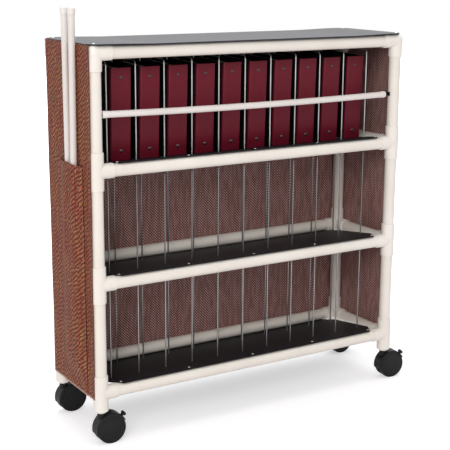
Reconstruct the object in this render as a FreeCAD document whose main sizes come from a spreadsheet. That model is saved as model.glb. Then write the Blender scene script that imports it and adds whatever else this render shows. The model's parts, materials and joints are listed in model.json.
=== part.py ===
import FreeCAD, Part
import math
import os
import re

import Sketcher

App = FreeCAD
doc = App.newDocument("chart_rack")


# ---------------------------------------------------------------- driving dimensions

# One row for each driving dimension, in millimetres or degrees: alias, value, what it is.
DIMENSIONS = [
    ("pipe_diameter", 42.2, "frame pipe, outside (1-1/4 inch PVC)"),
    ("pipe_wall", 3.6, "frame pipe, wall"),
    ("fitting_diameter", 49.0, "elbows and tees, outside"),
    ("fitting_arm", 57.0, "fitting, centre to the mouth of a rail socket"),
    ("tee_arm", 61.0, "tee, centre to the mouth of a post socket"),
    ("mouth_bevel", 1.2, "bevel round the mouth of a fitting"),
    ("socket_stop", 22.0, "fitting, centre to the end of the pipe inside it"),
    ("socket_play", 0.05, "cement gap round a pipe in its socket"),
    ("post_spacing_x", 1190.0, "post centres, left to right"),
    ("post_spacing_y", 312.0, "post centres, front to rear"),
    ("lower_rail_height", 176.5, "floor to the centre of the lowest rails"),
    ("level_pitch", 369.0, "centre of one rail to the next one up"),
    ("shelf_thickness", 3.0, "shelf sheet"),
    ("shelf_width", 1120.0, "shelf sheet, left to right"),
    ("shelf_nose", 18.0, "shelf sheet in front of the front rail's centre"),
    ("shelf_tail", 17.0, "shelf sheet behind the rear rail's centre"),
    ("corner_clip_x", 44.0, "clipped shelf corner, along the front"),
    ("corner_clip_y", 68.0, "clipped shelf corner, along the side"),
    ("top_thickness", 3.0, "top sheet"),
    ("top_overhang", 25.0, "top sheet past the post centres at the front, rear and left"),
    ("top_overhang_right", 20.0, "top sheet past the right post centres"),
    ("top_corner", 30.0, "bevel across each corner of the top sheet"),
    ("top_flat", 400.0, "middle of the top sheet to the foot of each rise over the elbows"),
    ("wire_diameter", 4.8, "divider wire"),
    ("wire_bend", 14.0, "divider wire, centre-line radius of the top bends"),
    ("wire_head", 8.0, "swaged head under the shelf"),
    ("wire_head_height", 2.5, "swaged head, thickness"),
    ("wire_top", 334.0, "rail centre to the centre of a divider's top run"),
    ("wire_front", 72.0, "front rail centre to a divider's front leg"),
    ("wire_rear", 242.0, "front rail centre to a divider's rear leg"),
    ("divider_pitch", 104.4, "one divider to the next"),
    ("screw_pitch", 260.0, "one shelf screw to the next"),
    ("screw_head", 8.5, "shelf screw, head diameter"),
    ("screw_head_height", 2.6, "shelf screw, head height"),
    ("screw_shank", 3.6, "shelf screw, shank diameter"),
    ("screw_length", 14.0, "shelf screw, under the head"),
    ("mesh_thickness", 1.6, "woven mesh cover"),
    ("mesh_gap", 0.5, "cover to the fittings"),
    ("mesh_bottom", 158.0, "floor to the lower hem"),
    ("mesh_front_left", 14.0, "left panel in front of the front post's centre"),
    ("mesh_front_right", -12.0, "right panel in front of the front post's centre, so it is behind"),
    ("pocket_depth", 25.6, "room in the pocket, at the bars"),
    ("pocket_front", 42.0, "front rail centre to the pocket's front seam"),
    ("pocket_flat_front", 76.0, "front rail centre to the front of the pocket's outer face"),
    ("pocket_flat_rear", 137.0, "front rail centre to the rear of the pocket's outer face"),
    ("pocket_rear", 218.0, "front rail centre to the pocket's rear seam"),
    ("pocket_floor", 293.0, "floor to the cross seam that the bars stand on"),
    ("pocket_mouth", 930.0, "floor to the pocket's mouth"),
    ("bar_diameter", 21.3, "retaining bar (1/2 inch PVC pipe)"),
    ("bar_wall", 2.8, "retaining bar, wall"),
    ("bar_length", 1124.0, "retaining bar with its caps"),
    ("bar_height", 178.5, "shelf rail centre to the retaining bar"),
    ("bar_end_left", 26.0, "left post centre to the end of the retaining bar"),
    ("cap_diameter", 25.0, "bar cap, outside"),
    ("cap_length", 20.0, "bar cap"),
    ("cap_face", 2.0, "bar cap, closed end"),
    ("stored_bar_front", 95.5, "front rail centre to the foot of the first stored bar"),
    ("stored_bar_rear", 121.5, "front rail centre to the foot of the second stored bar"),
    ("stored_lean_front", 1.2, "first stored bar, lean to the front in degrees"),
    ("stored_lean_rear", -0.3, "second stored bar, lean to the front in degrees"),
    ("clip_wall", 2.0, "bar clip, jaw"),
    ("clip_play", 0.3, "bar cap to jaw"),
    ("clip_reach", 23.0, "bar clip, length of the jaw along the bar"),
    ("clip_saddle", 2.0, "bar clip, saddle on the post, thickness"),
    ("clip_saddle_width", 16.0, "bar clip, saddle on the post, width"),
    ("clip_saddle_height", 22.0, "bar clip, saddle on the post, height"),
    ("wheel_diameter", 102.0, "caster wheel (4 inch)"),
    ("wheel_width", 14.2, "caster wheel, tread"),
    ("wheel_inner", 7.6, "caster centre plane to the inner face of a wheel"),
    ("wheel_dome", 1.8, "wheel cover, how far it stands proud"),
    ("axle_diameter", 8.0, "caster axle"),
    ("axle_play", 0.05, "wheel bore to axle, radial"),
    ("caster_trail", 29.5, "stem axis to axle axis"),
    ("hood_diameter", 109.0, "caster hood, outside"),
    ("hood_wall", 2.3, "caster hood, shell"),
    ("hood_width", 41.0, "caster hood"),
    ("hood_start", 24.0, "front edge of the hood above the horizontal, seen from the axle"),
    ("hood_sweep", 171.0, "caster hood, front edge to rear edge"),
    ("web_width", 14.0, "caster housing between the wheels"),
    ("hub_diameter", 44.0, "caster housing round the axle"),
    ("boss_diameter", 27.0, "caster housing round the stem"),
    ("stem_diameter", 11.0, "caster stem"),
    ("stem_play", 0.05, "stem to socket, radial"),
    ("stem_collar", 22.0, "collar on the stem, diameter"),
    ("stem_collar_height", 1.3, "collar on the stem, thickness"),
    ("stem_top", 146.0, "floor to the top of the stem"),
    ("socket_flange", 36.0, "caster socket, flange diameter"),
    ("socket_flange_height", 6.0, "caster socket, flange height"),
    ("socket_insert", 34.0, "caster socket, length inside the tee"),
    ("lever_radius", 40.0, "axle axis to the brake lever's pivot"),
    ("lever_angle", 37.0, "brake lever above the horizontal, as seen from the axle"),
    ("lever_thickness", 8.0, "brake lever, along the hood"),
    ("lever_width", 9.0, "brake lever inside the hood"),
    ("pedal_width", 16.0, "brake lever outside the hood"),
    ("pedal_height", 9.0, "brake lever outside the hood, from the hood outwards"),
    ("pedal_reach", 29.0, "brake lever, pivot to tip"),
    ("lever_room", 6.0, "brake lever to each end of its slot"),
    ("lever_pin", 3.0, "brake lever pin"),
    ("binder_width", 72.0, "ring binder, across the spine"),
    ("binder_depth", 250.0, "ring binder, spine to fore edge"),
    ("binder_tall", 300.0, "ring binder, height"),
    ("binder_board", 3.0, "ring binder, cover board"),
    ("binder_front", 76.0, "front rail centre to a binder's spine, at its foot"),
    ("pages_width", 56.0, "block of pages, thickness"),
    ("pages_depth", 216.0, "block of pages, front to rear"),
    ("pages_tall", 280.0, "block of pages, height"),
    ("ring_plate", 18.0, "ring plate, width"),
    ("rest_gap", 0.3, "air between pieces that only touch"),
]

cells = doc.addObject("Spreadsheet::Sheet", "dimensions")
size = {}
for row, (alias, amount, meaning) in enumerate(DIMENSIONS, start=1):
    cells.set(f"A{row}", meaning)
    cells.set(f"B{row}", str(amount))
    cells.setAlias(f"B{row}", alias)
    size[alias] = amount
doc.recompute()

ALIAS = re.compile(r"\b(" + "|".join(size) + r")\b")


def formula(words):
    """Write a formula of aliases as an expression on the spreadsheet."""
    return ALIAS.sub(r"dimensions.\1", words)


# ---------------------------------------------------------------- worked-out places

PIPE_R = size["pipe_diameter"] / 2
FITTING_R = size["fitting_diameter"] / 2
HALF_X = size["post_spacing_x"] / 2
HALF_Y = size["post_spacing_y"] / 2
LEVELS = {
    "lower": size["lower_rail_height"],
    "middle": size["lower_rail_height"] + size["level_pitch"],
    "upper": size["lower_rail_height"] + 2 * size["level_pitch"],
    "top": size["lower_rail_height"] + 3 * size["level_pitch"],
}
SHELVES = ["lower", "middle", "upper"]

# A shelf lies on the front rail and under the rear rail, so it slopes down to the rear.
SHELF_TILT = math.degrees(
    math.asin((size["pipe_diameter"] + size["shelf_thickness"]) / size["post_spacing_y"])
)

# The rack reaches from the pocket's outer face on the left to the right casters' wheels. The
# middle of that is the origin, so the frame's own middle stands a little to the left of it.
POCKET_OUTER = FITTING_R + size["mesh_gap"] + 2 * size["mesh_thickness"] + size["pocket_depth"]
BOX_RIGHT = HALF_X + size["caster_trail"] + size["wheel_diameter"] / 2
BOX_LEFT = HALF_X + POCKET_OUTER
FRAME_MIDDLE = App.Vector((BOX_LEFT - BOX_RIGHT) / 2, 0, 0)

CORNERS = {
    "front_left": (-HALF_X, -HALF_Y, 0),
    "front_right": (HALF_X, -HALF_Y, 90),
    "rear_right": (HALF_X, HALF_Y, 180),
    "rear_left": (-HALF_X, HALF_Y, 270),
}

# How far each caster has turned about its stem at rest, in degrees.
CASTER_TURN = {"front_left": 0, "front_right": -6, "rear_left": 2, "rear_right": 2}

X_AXIS = App.Vector(1, 0, 0)
Y_AXIS = App.Vector(0, 1, 0)
Z_AXIS = App.Vector(0, 0, 1)
ALONG_X = App.Rotation(Y_AXIS, 90)
ALONG_Y = App.Rotation(X_AXIS, -90)
UPRIGHT = App.Rotation()


def place(item, at=(0, 0, 0), rotation=UPRIGHT):
    item.Placement = App.Placement(App.Vector(*at), rotation)
    return item


# ---------------------------------------------------------------- Part primitives

def bind(item, **formulas):
    for name, words in formulas.items():
        item.setExpression(name, formula(words))
    return item


def cylinder(name, radius, height, at=(0, 0, 0), rotation=UPRIGHT, sweep="360"):
    item = doc.addObject("Part::Cylinder", name)
    bind(item, Radius=radius, Height=height, Angle=sweep)
    return place(item, at, rotation)


def block(name, length, width, height, at=(0, 0, 0), rotation=UPRIGHT):
    item = doc.addObject("Part::Box", name)
    bind(item, Length=length, Width=width, Height=height)
    return place(item, at, rotation)


def fuse(name, members):
    item = doc.addObject("Part::MultiFuse", name)
    item.Shapes = members
    return item


def cut(name, base, tool):
    item = doc.addObject("Part::Cut", name)
    item.Base = base
    item.Tool = tool
    return item


def copy_of(name, source, at, rotation=UPRIGHT):
    item = doc.addObject("App::Link", name)
    item.LinkedObject = source
    return place(item, at, rotation)


def pipe(name, outside, wall, length, at=(0, 0, 0), rotation=UPRIGHT):
    """A plain tube along its own Z axis, from z = 0 up."""
    outer = cylinder(f"{name}_outside", f"{outside} / 2", length)
    inner = cylinder(f"{name}_bore", f"{outside} / 2 - {wall}", length)
    return place(cut(name, outer, inner), at, rotation)


# ---------------------------------------------------------------- PartDesign helpers

def new_body(label, several_solids=False):
    body = doc.addObject("PartDesign::Body", f"{label}_body")
    body.AllowCompound = several_solids
    return body


def sketch_on(body, name, role):
    sketch = body.newObject("Sketcher::SketchObject", name)
    plane = next(item for item in body.Origin.OriginFeatures if item.Role == role)
    sketch.AttachmentSupport = [(plane, "")]
    sketch.MapMode = "FlatFace"
    return sketch


def pin_point(sketch, geometry, end, point, guess):
    """Hold one point of a sketch at two formulas, across and up from the origin."""
    for kind, words, rough in zip(("DistanceX", "DistanceY"), point, guess):
        held = Sketcher.Constraint(kind, -1, 1, geometry, end, float(rough))
        index = sketch.addConstraint(held)
        sketch.setExpression(f"Constraints[{index}]", formula(words))


def draw_outline(sketch, points, guess):
    """Draw a closed outline; points are pairs of formulas and guess holds their rough values."""
    first = sketch.GeometryCount
    count = len(points)
    for index in range(count):
        start = App.Vector(*guess[index], 0)
        end = App.Vector(*guess[(index + 1) % count], 0)
        sketch.addGeometry(Part.LineSegment(start, end), False)
    for index in range(count):
        follower = first + (index + 1) % count
        sketch.addConstraint(Sketcher.Constraint("Coincident", first + index, 2, follower, 1))
    for index, point in enumerate(points):
        pin_point(sketch, first + index, 1, point, guess[index])


def draw_circle(sketch, centre, diameter, guess):
    index = sketch.addGeometry(Part.Circle(App.Vector(*guess, 0), Z_AXIS, 2.0), False)
    pin_point(sketch, index, 3, centre, guess)
    ring = sketch.addConstraint(Sketcher.Constraint("Diameter", index, 4.0))
    sketch.setExpression(f"Constraints[{ring}]", formula(diameter))


def revolve(body, sketch, axis="V_Axis"):
    turned = body.newObject("PartDesign::Revolution", f"{sketch.Name}_turned")
    turned.Profile = sketch
    turned.ReferenceAxis = (sketch, [axis])
    turned.Angle = 360
    return turned


def pad(body, sketch, length, both_ways=False):
    raised = body.newObject("PartDesign::Pad", f"{sketch.Name}_pad")
    raised.Profile = sketch
    raised.Midplane = both_ways
    raised.setExpression("Length", formula(length))
    return raised


def pocket_through(body, sketch, depth):
    """Cut a sketch both ways out of a sheet that is thinner than depth."""
    hole = body.newObject("PartDesign::Pocket", f"{sketch.Name}_cut")
    hole.Profile = sketch
    hole.Midplane = True
    hole.setExpression("Length", formula(depth))
    return hole


def row_along_x(body, feature, sketch, pitch, count):
    pattern = body.newObject("PartDesign::LinearPattern", f"{feature.Name}_row")
    pattern.Originals = [feature]
    pattern.Direction = (sketch, ["H_Axis"])
    pattern.Occurrences = count
    pattern.setExpression("Length", formula(f"({pitch}) * {count - 1}"))
    body.Tip = pattern
    return pattern


# ---------------------------------------------------------------- the list of nodes

nodes = []


def keep(label, item, at=(0, 0, 0), rotation=UPRIGHT):
    """Name a sub-part for its file, and place it in the frame of the whole rack."""
    place(item, App.Vector(*at) + FRAME_MIDDLE, rotation)
    item.Label = label
    nodes.append(item)
    return item


def keep_group(label, members):
    group = doc.addObject("Part::Compound", f"{label}_group")
    group.Links = members
    return keep(label, group)


# ---------------------------------------------------------------- frame: posts and rails

def make_posts():
    """Each post is three lengths of pipe, one between each two fittings."""
    length = "level_pitch - 2 * socket_stop"
    for corner, (x, y, turn) in CORNERS.items():
        segments = []
        for level in SHELVES:
            z = LEVELS[level] + size["socket_stop"]
            name = f"{corner}_{level}_segment"
            segments.append(pipe(name, "pipe_diameter", "pipe_wall", length, (x, y, z)))
        keep_group(f"{corner}_post", segments)


def make_rails():
    """Four rails on each level, all at one height."""
    stop = size["socket_stop"]
    length_x = "post_spacing_x - 2 * socket_stop"
    length_y = "post_spacing_y - 2 * socket_stop"
    for level, z in LEVELS.items():
        rails = []
        for side, y in (("front", -HALF_Y), ("rear", HALF_Y)):
            name = f"{level}_{side}_rail"
            start = (stop - HALF_X, y, z)
            rails.append(pipe(name, "pipe_diameter", "pipe_wall", length_x, start, ALONG_X))
        for side, x in (("left", -HALF_X), ("right", HALF_X)):
            name = f"{level}_{side}_rail"
            start = (x, stop - HALF_Y, z)
            rails.append(pipe(name, "pipe_diameter", "pipe_wall", length_y, start, ALONG_Y))
        keep_group(f"{level}_rails", rails)


# ---------------------------------------------------------------- frame: fittings

def make_fitting(name, arms):
    """A moulded fitting: one sleeve for each arm, bevelled round its mouth, a ball at the centre
    and a bored socket in each sleeve. Each arm is its rotation and the formula of its length."""
    ball = doc.addObject("Part::Sphere", f"{name}_ball")
    bind(ball, Radius="fitting_diameter / 2")
    sleeves = [ball]
    bores = []
    stop = size["socket_stop"]
    for index, (rotation, arm) in enumerate(arms):
        sleeves.append(
            cylinder(
                f"{name}_sleeve_{index}",
                "fitting_diameter / 2",
                f"{arm} - mouth_bevel",
                rotation=rotation,
            )
        )
        bevel = doc.addObject("Part::Cone", f"{name}_bevel_{index}")
        bind(
            bevel,
            Radius1="fitting_diameter / 2",
            Radius2="fitting_diameter / 2 - mouth_bevel",
            Height="mouth_bevel",
        )
        bevel_foot = rotation.multVec(App.Vector(0, 0, size[arm] - size["mouth_bevel"]))
        sleeves.append(place(bevel, bevel_foot, rotation))
        mouth = rotation.multVec(App.Vector(0, 0, stop))
        bores.append(
            cylinder(
                f"{name}_socket_{index}",
                "pipe_diameter / 2 + socket_play",
                f"{arm} - socket_stop",
                mouth,
                rotation,
            )
        )
        bores.append(
            cylinder(
                f"{name}_passage_{index}",
                "pipe_diameter / 2 - pipe_wall",
                "socket_stop",
                rotation=rotation,
            )
        )
    return cut(name, fuse(f"{name}_outside", sleeves), fuse(f"{name}_hollow", bores))


def make_fittings():
    down = App.Rotation(X_AXIS, 180)
    rail_arms = [(ALONG_X, "fitting_arm"), (ALONG_Y, "fitting_arm")]
    elbow = make_fitting("elbow", rail_arms + [(down, "fitting_arm")])
    tee = make_fitting("tee", rail_arms + [(down, "tee_arm"), (UPRIGHT, "tee_arm")])
    for level, z in LEVELS.items():
        if level == "top":
            source, label = elbow, "top_corner_elbows"
        else:
            source, label = tee, f"{level}_corner_tees"
        copies = []
        for corner, (x, y, turn) in CORNERS.items():
            rotation = App.Rotation(Z_AXIS, turn)
            copies.append(copy_of(f"{level}_{corner}_fitting", source, (x, y, z), rotation))
        keep_group(label, copies)


# ---------------------------------------------------------------- shelves and top

def shelf_point(along, above):
    """A point of a shelf's own frame seen from the front rail's centre: along the slope and
    above its underside."""
    tilt = math.radians(SHELF_TILT)
    rise = PIPE_R + above
    return (
        along * math.cos(tilt) + rise * math.sin(tilt),
        rise * math.cos(tilt) - along * math.sin(tilt),
    )


def sheet_height(y, above=0.0):
    """Height over the rail centre of a shelf's underside (or above it) at y behind the rail."""
    tilt = math.radians(SHELF_TILT)
    return (PIPE_R + above) / math.cos(tilt) - y * math.tan(tilt)


# Formulas for the shelf's own frame: x from the middle, y along the slope from the front rail.
SLOPE_RUN = "sqrt(post_spacing_y ^ 2 - (pipe_diameter + shelf_thickness) ^ 2)"
SHELF_END = f"({SLOPE_RUN} + shelf_tail)"


def make_shelf(level):
    """A sheet with its corners clipped to clear the fittings. The front row of screws goes down
    into the front rail and the rear row up into the rear rail."""
    body = new_body(f"{level}_shelf")
    outline = sketch_on(body, f"{level}_shelf_outline", "XY_Plane")
    side = "shelf_width / 2"
    front = "-shelf_nose"
    rear = SHELF_END
    right = [
        (f"{side} - corner_clip_x", front),
        (side, f"{front} + corner_clip_y"),
        (side, f"{rear} - corner_clip_y"),
        (f"{side} - corner_clip_x", rear),
    ]
    left = [(f"-({across})", up) for across, up in reversed(right)]
    guess_right = [(518, -18), (560, 50), (560, 258), (518, 326)]
    guess_left = [(-across, up) for across, up in reversed(guess_right)]
    draw_outline(outline, right + left, guess_right + guess_left)
    pad(body, outline, "shelf_thickness")

    holes = sketch_on(body, f"{level}_shelf_screw_holes", "XY_Plane")
    first = "-2 * screw_pitch"
    draw_circle(holes, (first, "0"), "screw_shank + 0.4", (-520, 0))
    draw_circle(holes, (first, SLOPE_RUN), "screw_shank + 0.4", (-520, 300))
    drilled = pocket_through(body, holes, "4 * shelf_thickness")
    row_along_x(body, drilled, holes, "screw_pitch", 5)

    legs = fuse_legs(level)
    y, z = shelf_point(0.0, 0.0)
    place(body, (0, y, z), App.Rotation(X_AXIS, -SHELF_TILT))
    drilled_sheet = cut(f"{level}_shelf_drilled", body, legs)
    keep(f"{level}_shelf", drilled_sheet, (0, -HALF_Y, LEVELS[level]))


def fuse_legs(level):
    """Upright cutters for the dividers' legs, seen from the front rail's centre."""
    body = new_body(f"{level}_leg_cutter", several_solids=True)
    circles = sketch_on(body, f"{level}_leg_circles", "XY_Plane")
    for leg, y in (("wire_front", 72), ("wire_rear", 242)):
        draw_circle(circles, ("-5 * divider_pitch", leg), "wire_diameter + 0.2", (-520, y))
    column = pad(body, circles, "3 * pipe_diameter", both_ways=True)
    row_along_x(body, column, circles, "divider_pitch", 11)
    return body


def make_top():
    """The top sheet lies on the front and rear rails and rises at both ends over the elbows, so
    it is bent in one direction only. A screw goes down into each elbow."""
    bent = new_body("top_sheet_bent")
    profile = sketch_on(bent, "top_sheet_profile", "XZ_Plane")
    left = "-(post_spacing_x / 2 + top_overhang)"
    right = "post_spacing_x / 2 + top_overhang_right"
    elbow = "post_spacing_x / 2 - fitting_arm"
    rise = "(fitting_diameter - pipe_diameter) / 2"
    underside = [
        (left, rise),
        (f"-({elbow})", rise),
        ("-top_flat", "0"),
        ("top_flat", "0"),
        (elbow, rise),
        (right, rise),
    ]
    topside = [(across, f"{up} + top_thickness") for across, up in reversed(underside)]
    guess = [(-620, 3), (-538, 3), (-400, 0), (400, 0), (538, 3), (615, 3)]
    guess_top = [(across, up + 3) for across, up in reversed(guess)]
    draw_outline(profile, underside + topside, guess + guess_top)
    pad(bent, profile, "post_spacing_y + 2 * top_overhang", both_ways=True)

    plan = new_body("top_sheet_plan")
    outline = sketch_on(plan, "top_sheet_outline", "XY_Plane")
    side = "post_spacing_y / 2 + top_overhang"
    right_rear = [(right, f"{side} - top_corner"), (f"{right} - top_corner", side)]
    left_rear = [(f"{left} + top_corner", side), (left, f"{side} - top_corner")]
    left_front = [(across, f"-({up})") for across, up in reversed(left_rear)]
    right_front = [(across, f"-({up})") for across, up in reversed(right_rear)]
    guess_rear = [(615, 151), (585, 181), (-590, 181), (-620, 151)]
    guess_front = [(across, -up) for across, up in reversed(guess_rear)]
    draw_outline(
        outline, right_rear + left_rear + left_front + right_front, guess_rear + guess_front
    )
    pad(plan, outline, "fitting_diameter")

    drills = doc.addObject("Part::Compound", "top_sheet_drills")
    drill = cylinder("top_sheet_drill", "screw_shank / 2 + 0.2", "fitting_diameter")
    drills.Links = [
        copy_of(f"{corner}_top_drill", drill, (x, y, 0)) for corner, (x, y, turn) in CORNERS.items()
    ]
    sheet = doc.addObject("Part::MultiCommon", "top_sheet_trimmed")
    sheet.Shapes = [bent, plan]
    keep("top_sheet", cut("top_sheet_drilled", sheet, drills), (0, 0, LEVELS["top"] + PIPE_R))


# ---------------------------------------------------------------- screws

def make_screw(name):
    """A domed screw along Z with its head's seat at z = 0."""
    body = new_body(name)
    profile = sketch_on(body, f"{name}_profile", "XZ_Plane")
    head = "screw_head / 2"
    shank = "screw_shank / 2"
    points = [
        ("0", "screw_head_height"),
        (f"{head} * 0.6", "screw_head_height * 0.85"),
        (head, "screw_head_height * 0.3"),
        (head, "0"),
        (shank, "0"),
        (shank, "-screw_length"),
        ("0", "-screw_length"),
    ]
    guess = [(0, 3), (3, 2), (4, 1), (4, 0), (2, 0), (2, -14), (0, -14)]
    draw_outline(profile, points, guess)
    revolve(body, profile)
    return body


def make_screws():
    """Five screws along the front and the rear of each shelf, and one in each top elbow."""
    screw = make_screw("sheet_screw")
    copies = []
    for level in SHELVES:
        for index in range(5):
            x = (index - 2) * size["screw_pitch"]
            y, z = shelf_point(0.0, size["shelf_thickness"])
            tilted = App.Rotation(X_AXIS, -SHELF_TILT)
            at = (x, y - HALF_Y, z + LEVELS[level])
            copies.append(copy_of(f"{level}_front_screw_{index}", screw, at, tilted))
            run = math.sqrt(
                size["post_spacing_y"] ** 2
                - (size["pipe_diameter"] + size["shelf_thickness"]) ** 2
            )
            y, z = shelf_point(run, 0.0)
            upside = App.Rotation(X_AXIS, 180 - SHELF_TILT)
            at = (x, y - HALF_Y, z + LEVELS[level])
            copies.append(copy_of(f"{level}_rear_screw_{index}", screw, at, upside))
    top = LEVELS["top"] + FITTING_R + size["top_thickness"]
    for corner, (x, y, turn) in CORNERS.items():
        copies.append(copy_of(f"{corner}_top_screw", screw, (x, y, top)))
    keep_group("sheet_screws", copies)


# ---------------------------------------------------------------- dividers

def make_dividers(level):
    """Eleven inverted-U wires. The legs go down through the shelf and end in swaged heads."""
    label = f"{level}_dividers"
    body = new_body(label, several_solids=True)
    below = size["shelf_thickness"] / 2 + 6.0
    foot_front = sheet_height(size["wire_front"]) - below
    foot_rear = sheet_height(size["wire_rear"]) - below

    spine = sketch_on(body, f"{level}_wire_route", "YZ_Plane")
    bend = size["wire_bend"]
    front = size["wire_front"]
    rear = size["wire_rear"]
    crown = size["wire_top"]
    spine.addGeometry(
        Part.LineSegment(App.Vector(front, foot_front, 0), App.Vector(front, crown - bend, 0))
    )
    spine.addGeometry(
        Part.ArcOfCircle(
            Part.Circle(App.Vector(front + bend, crown - bend, 0), Z_AXIS, bend),
            math.pi / 2,
            math.pi,
        )
    )
    spine.addGeometry(
        Part.LineSegment(App.Vector(front + bend, crown, 0), App.Vector(rear - bend, crown, 0))
    )
    spine.addGeometry(
        Part.ArcOfCircle(
            Part.Circle(App.Vector(rear - bend, crown - bend, 0), Z_AXIS, bend), 0, math.pi / 2
        )
    )
    spine.addGeometry(
        Part.LineSegment(App.Vector(rear, crown - bend, 0), App.Vector(rear, foot_rear, 0))
    )
    for first, end, second, start in ((0, 2, 1, 2), (1, 1, 2, 1), (2, 2, 3, 2), (3, 1, 4, 1)):
        spine.addConstraint(Sketcher.Constraint("Coincident", first, end, second, start))
    held = [
        (0, 1, ("wire_front", f"{foot_front}"), (front, foot_front)),
        (0, 2, ("wire_front", "wire_top - wire_bend"), (front, crown - bend)),
        (2, 1, ("wire_front + wire_bend", "wire_top"), (front + bend, crown)),
        (2, 2, ("wire_rear - wire_bend", "wire_top"), (rear - bend, crown)),
        (4, 1, ("wire_rear", "wire_top - wire_bend"), (rear, crown - bend)),
        (4, 2, ("wire_rear", f"{foot_rear}"), (rear, foot_rear)),
    ]
    for line, end, point, guess in held:
        pin_point(spine, line, end, point, guess)
    for arc in (1, 3):
        curve = spine.addConstraint(Sketcher.Constraint("Radius", arc, bend))
        spine.setExpression(f"Constraints[{curve}]", formula("wire_bend"))

    section = sketch_on(body, f"{level}_wire_section", "XY_Plane")
    section.AttachmentOffset = App.Placement(App.Vector(0, 0, foot_front), UPRIGHT)
    draw_circle(section, ("0", "wire_front"), "wire_diameter", (0, front))
    doc.recompute()
    wire = body.newObject("PartDesign::AdditivePipe", f"{level}_wire")
    wire.Profile = section
    wire.Spine = (spine, [])
    doc.recompute()

    heads = []
    for leg, y, foot in (("front", "wire_front", foot_front), ("rear", "wire_rear", foot_rear)):
        ring = sketch_on(body, f"{level}_{leg}_head_circle", "XY_Plane")
        ring.AttachmentOffset = App.Placement(App.Vector(0, 0, foot), UPRIGHT)
        draw_circle(ring, ("0", y), "wire_head", (0, size[y]))
        head = pad(body, ring, "wire_head_height")
        head.Reversed = True
        heads.append(head)
    doc.recompute()
    pattern = body.newObject("PartDesign::LinearPattern", f"{level}_wire_row")
    pattern.Originals = [wire] + heads
    pattern.Direction = (section, ["H_Axis"])
    pattern.Occurrences = 11
    pattern.setExpression("Length", formula("divider_pitch * 10"))
    body.Tip = pattern
    keep(label, body, (-5 * size["divider_pitch"], -HALF_Y, LEVELS[level]))


# ---------------------------------------------------------------- mesh cover and pocket

def make_cover():
    """Three flat panels just outside the fittings, sewn together at the rear corners."""
    gap = FITTING_R + size["mesh_gap"]
    thick = size["mesh_thickness"]
    bottom = size["mesh_bottom"]
    tall = "lower_rail_height + 3 * level_pitch + fitting_diameter / 2 - mesh_bottom - rest_gap"
    for side, x in (("left", -HALF_X - gap - thick), ("right", HALF_X + gap)):
        front = f"mesh_front_{side}"
        side_deep = f"post_spacing_y + {front} + fitting_diameter / 2 + mesh_gap"
        panel = block(f"{side}_cover_panel", "mesh_thickness", side_deep, tall)
        keep(f"{side}_cover", panel, (x, -HALF_Y - size[front], bottom))
    wide = "post_spacing_x + fitting_diameter + 2 * mesh_gap + 2 * mesh_thickness"
    back = block("back_cover_panel", wide, "mesh_thickness", tall)
    keep("back_cover", back, (-HALF_X - gap - thick, HALF_Y + gap, bottom))


def make_pocket():
    """A sewn pocket on the left cover: a flat outer face over the bars, a slope to the front and
    the rear seam, and a cross seam that closes it. Below that seam the cloth hangs flat to the
    hem."""
    body = new_body("side_pocket")
    plan = sketch_on(body, "side_pocket_plan", "XY_Plane")
    out = "-(pocket_depth + mesh_thickness)"
    room = "-pocket_depth"
    wall = "mesh_thickness"
    points = [
        ("0", "pocket_front"),
        (out, "pocket_flat_front"),
        (out, "pocket_flat_rear"),
        ("0", "pocket_rear"),
        ("0", f"pocket_rear - 3 * {wall}"),
        (room, "pocket_flat_rear"),
        (room, f"pocket_flat_front + 0.3 * {wall}"),
        ("0", f"pocket_front + 1.7 * {wall}"),
    ]
    guess = [(0, 42), (-27, 76), (-27, 137), (0, 218), (0, 213), (-25, 137), (-25, 77), (0, 45)]
    draw_outline(plan, points, guess)
    pad(body, plan, "pocket_mouth - pocket_floor")
    floor_plan = sketch_on(body, "side_pocket_floor_plan", "XY_Plane")
    draw_outline(floor_plan, points[:4], guess[:4])
    closed = pad(body, floor_plan, wall)
    closed.Reversed = True
    skirt_plan = sketch_on(body, "side_pocket_skirt_plan", "XY_Plane")
    skirt = [
        ("0", "pocket_front"),
        (f"-{wall}", "pocket_front"),
        (f"-{wall}", "pocket_rear - 2"),
        ("0", "pocket_rear - 2"),
    ]
    draw_outline(skirt_plan, skirt, [(0, 42), (-1.6, 42), (-1.6, 216), (0, 216)])
    hanging = pad(body, skirt_plan, "pocket_floor - mesh_bottom")
    hanging.Reversed = True
    x = -HALF_X - FITTING_R - size["mesh_gap"] - size["mesh_thickness"]
    keep("side_pocket", body, (x, -HALF_Y, size["pocket_floor"]))


# ---------------------------------------------------------------- retaining bars and clips

def make_bar(label):
    """A thin tube with a cap pushed on each end, both standing on z = 0 in their own frame."""
    tube = pipe(f"{label}_tube", "bar_diameter", "bar_wall", "bar_length - 2 * cap_face")
    caps = []
    for end in ("foot", "head"):
        body = new_body(f"{label}_{end}_cap")
        profile = sketch_on(body, f"{label}_{end}_cap_profile", "XZ_Plane")
        outer = "cap_diameter / 2"
        inner = "bar_diameter / 2"
        points = [
            ("0", "0"),
            (f"{outer} - 1.5", "0"),
            (outer, "1.5"),
            (outer, "cap_length"),
            (inner, "cap_length"),
            (inner, "cap_face"),
            ("0", "cap_face"),
        ]
        guess = [(0, 0), (11, 0), (12.5, 1.5), (12.5, 16), (10.6, 16), (10.6, 2), (0, 2)]
        draw_outline(profile, points, guess)
        revolve(body, profile)
        caps.append(body)
    return tube, caps


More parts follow.
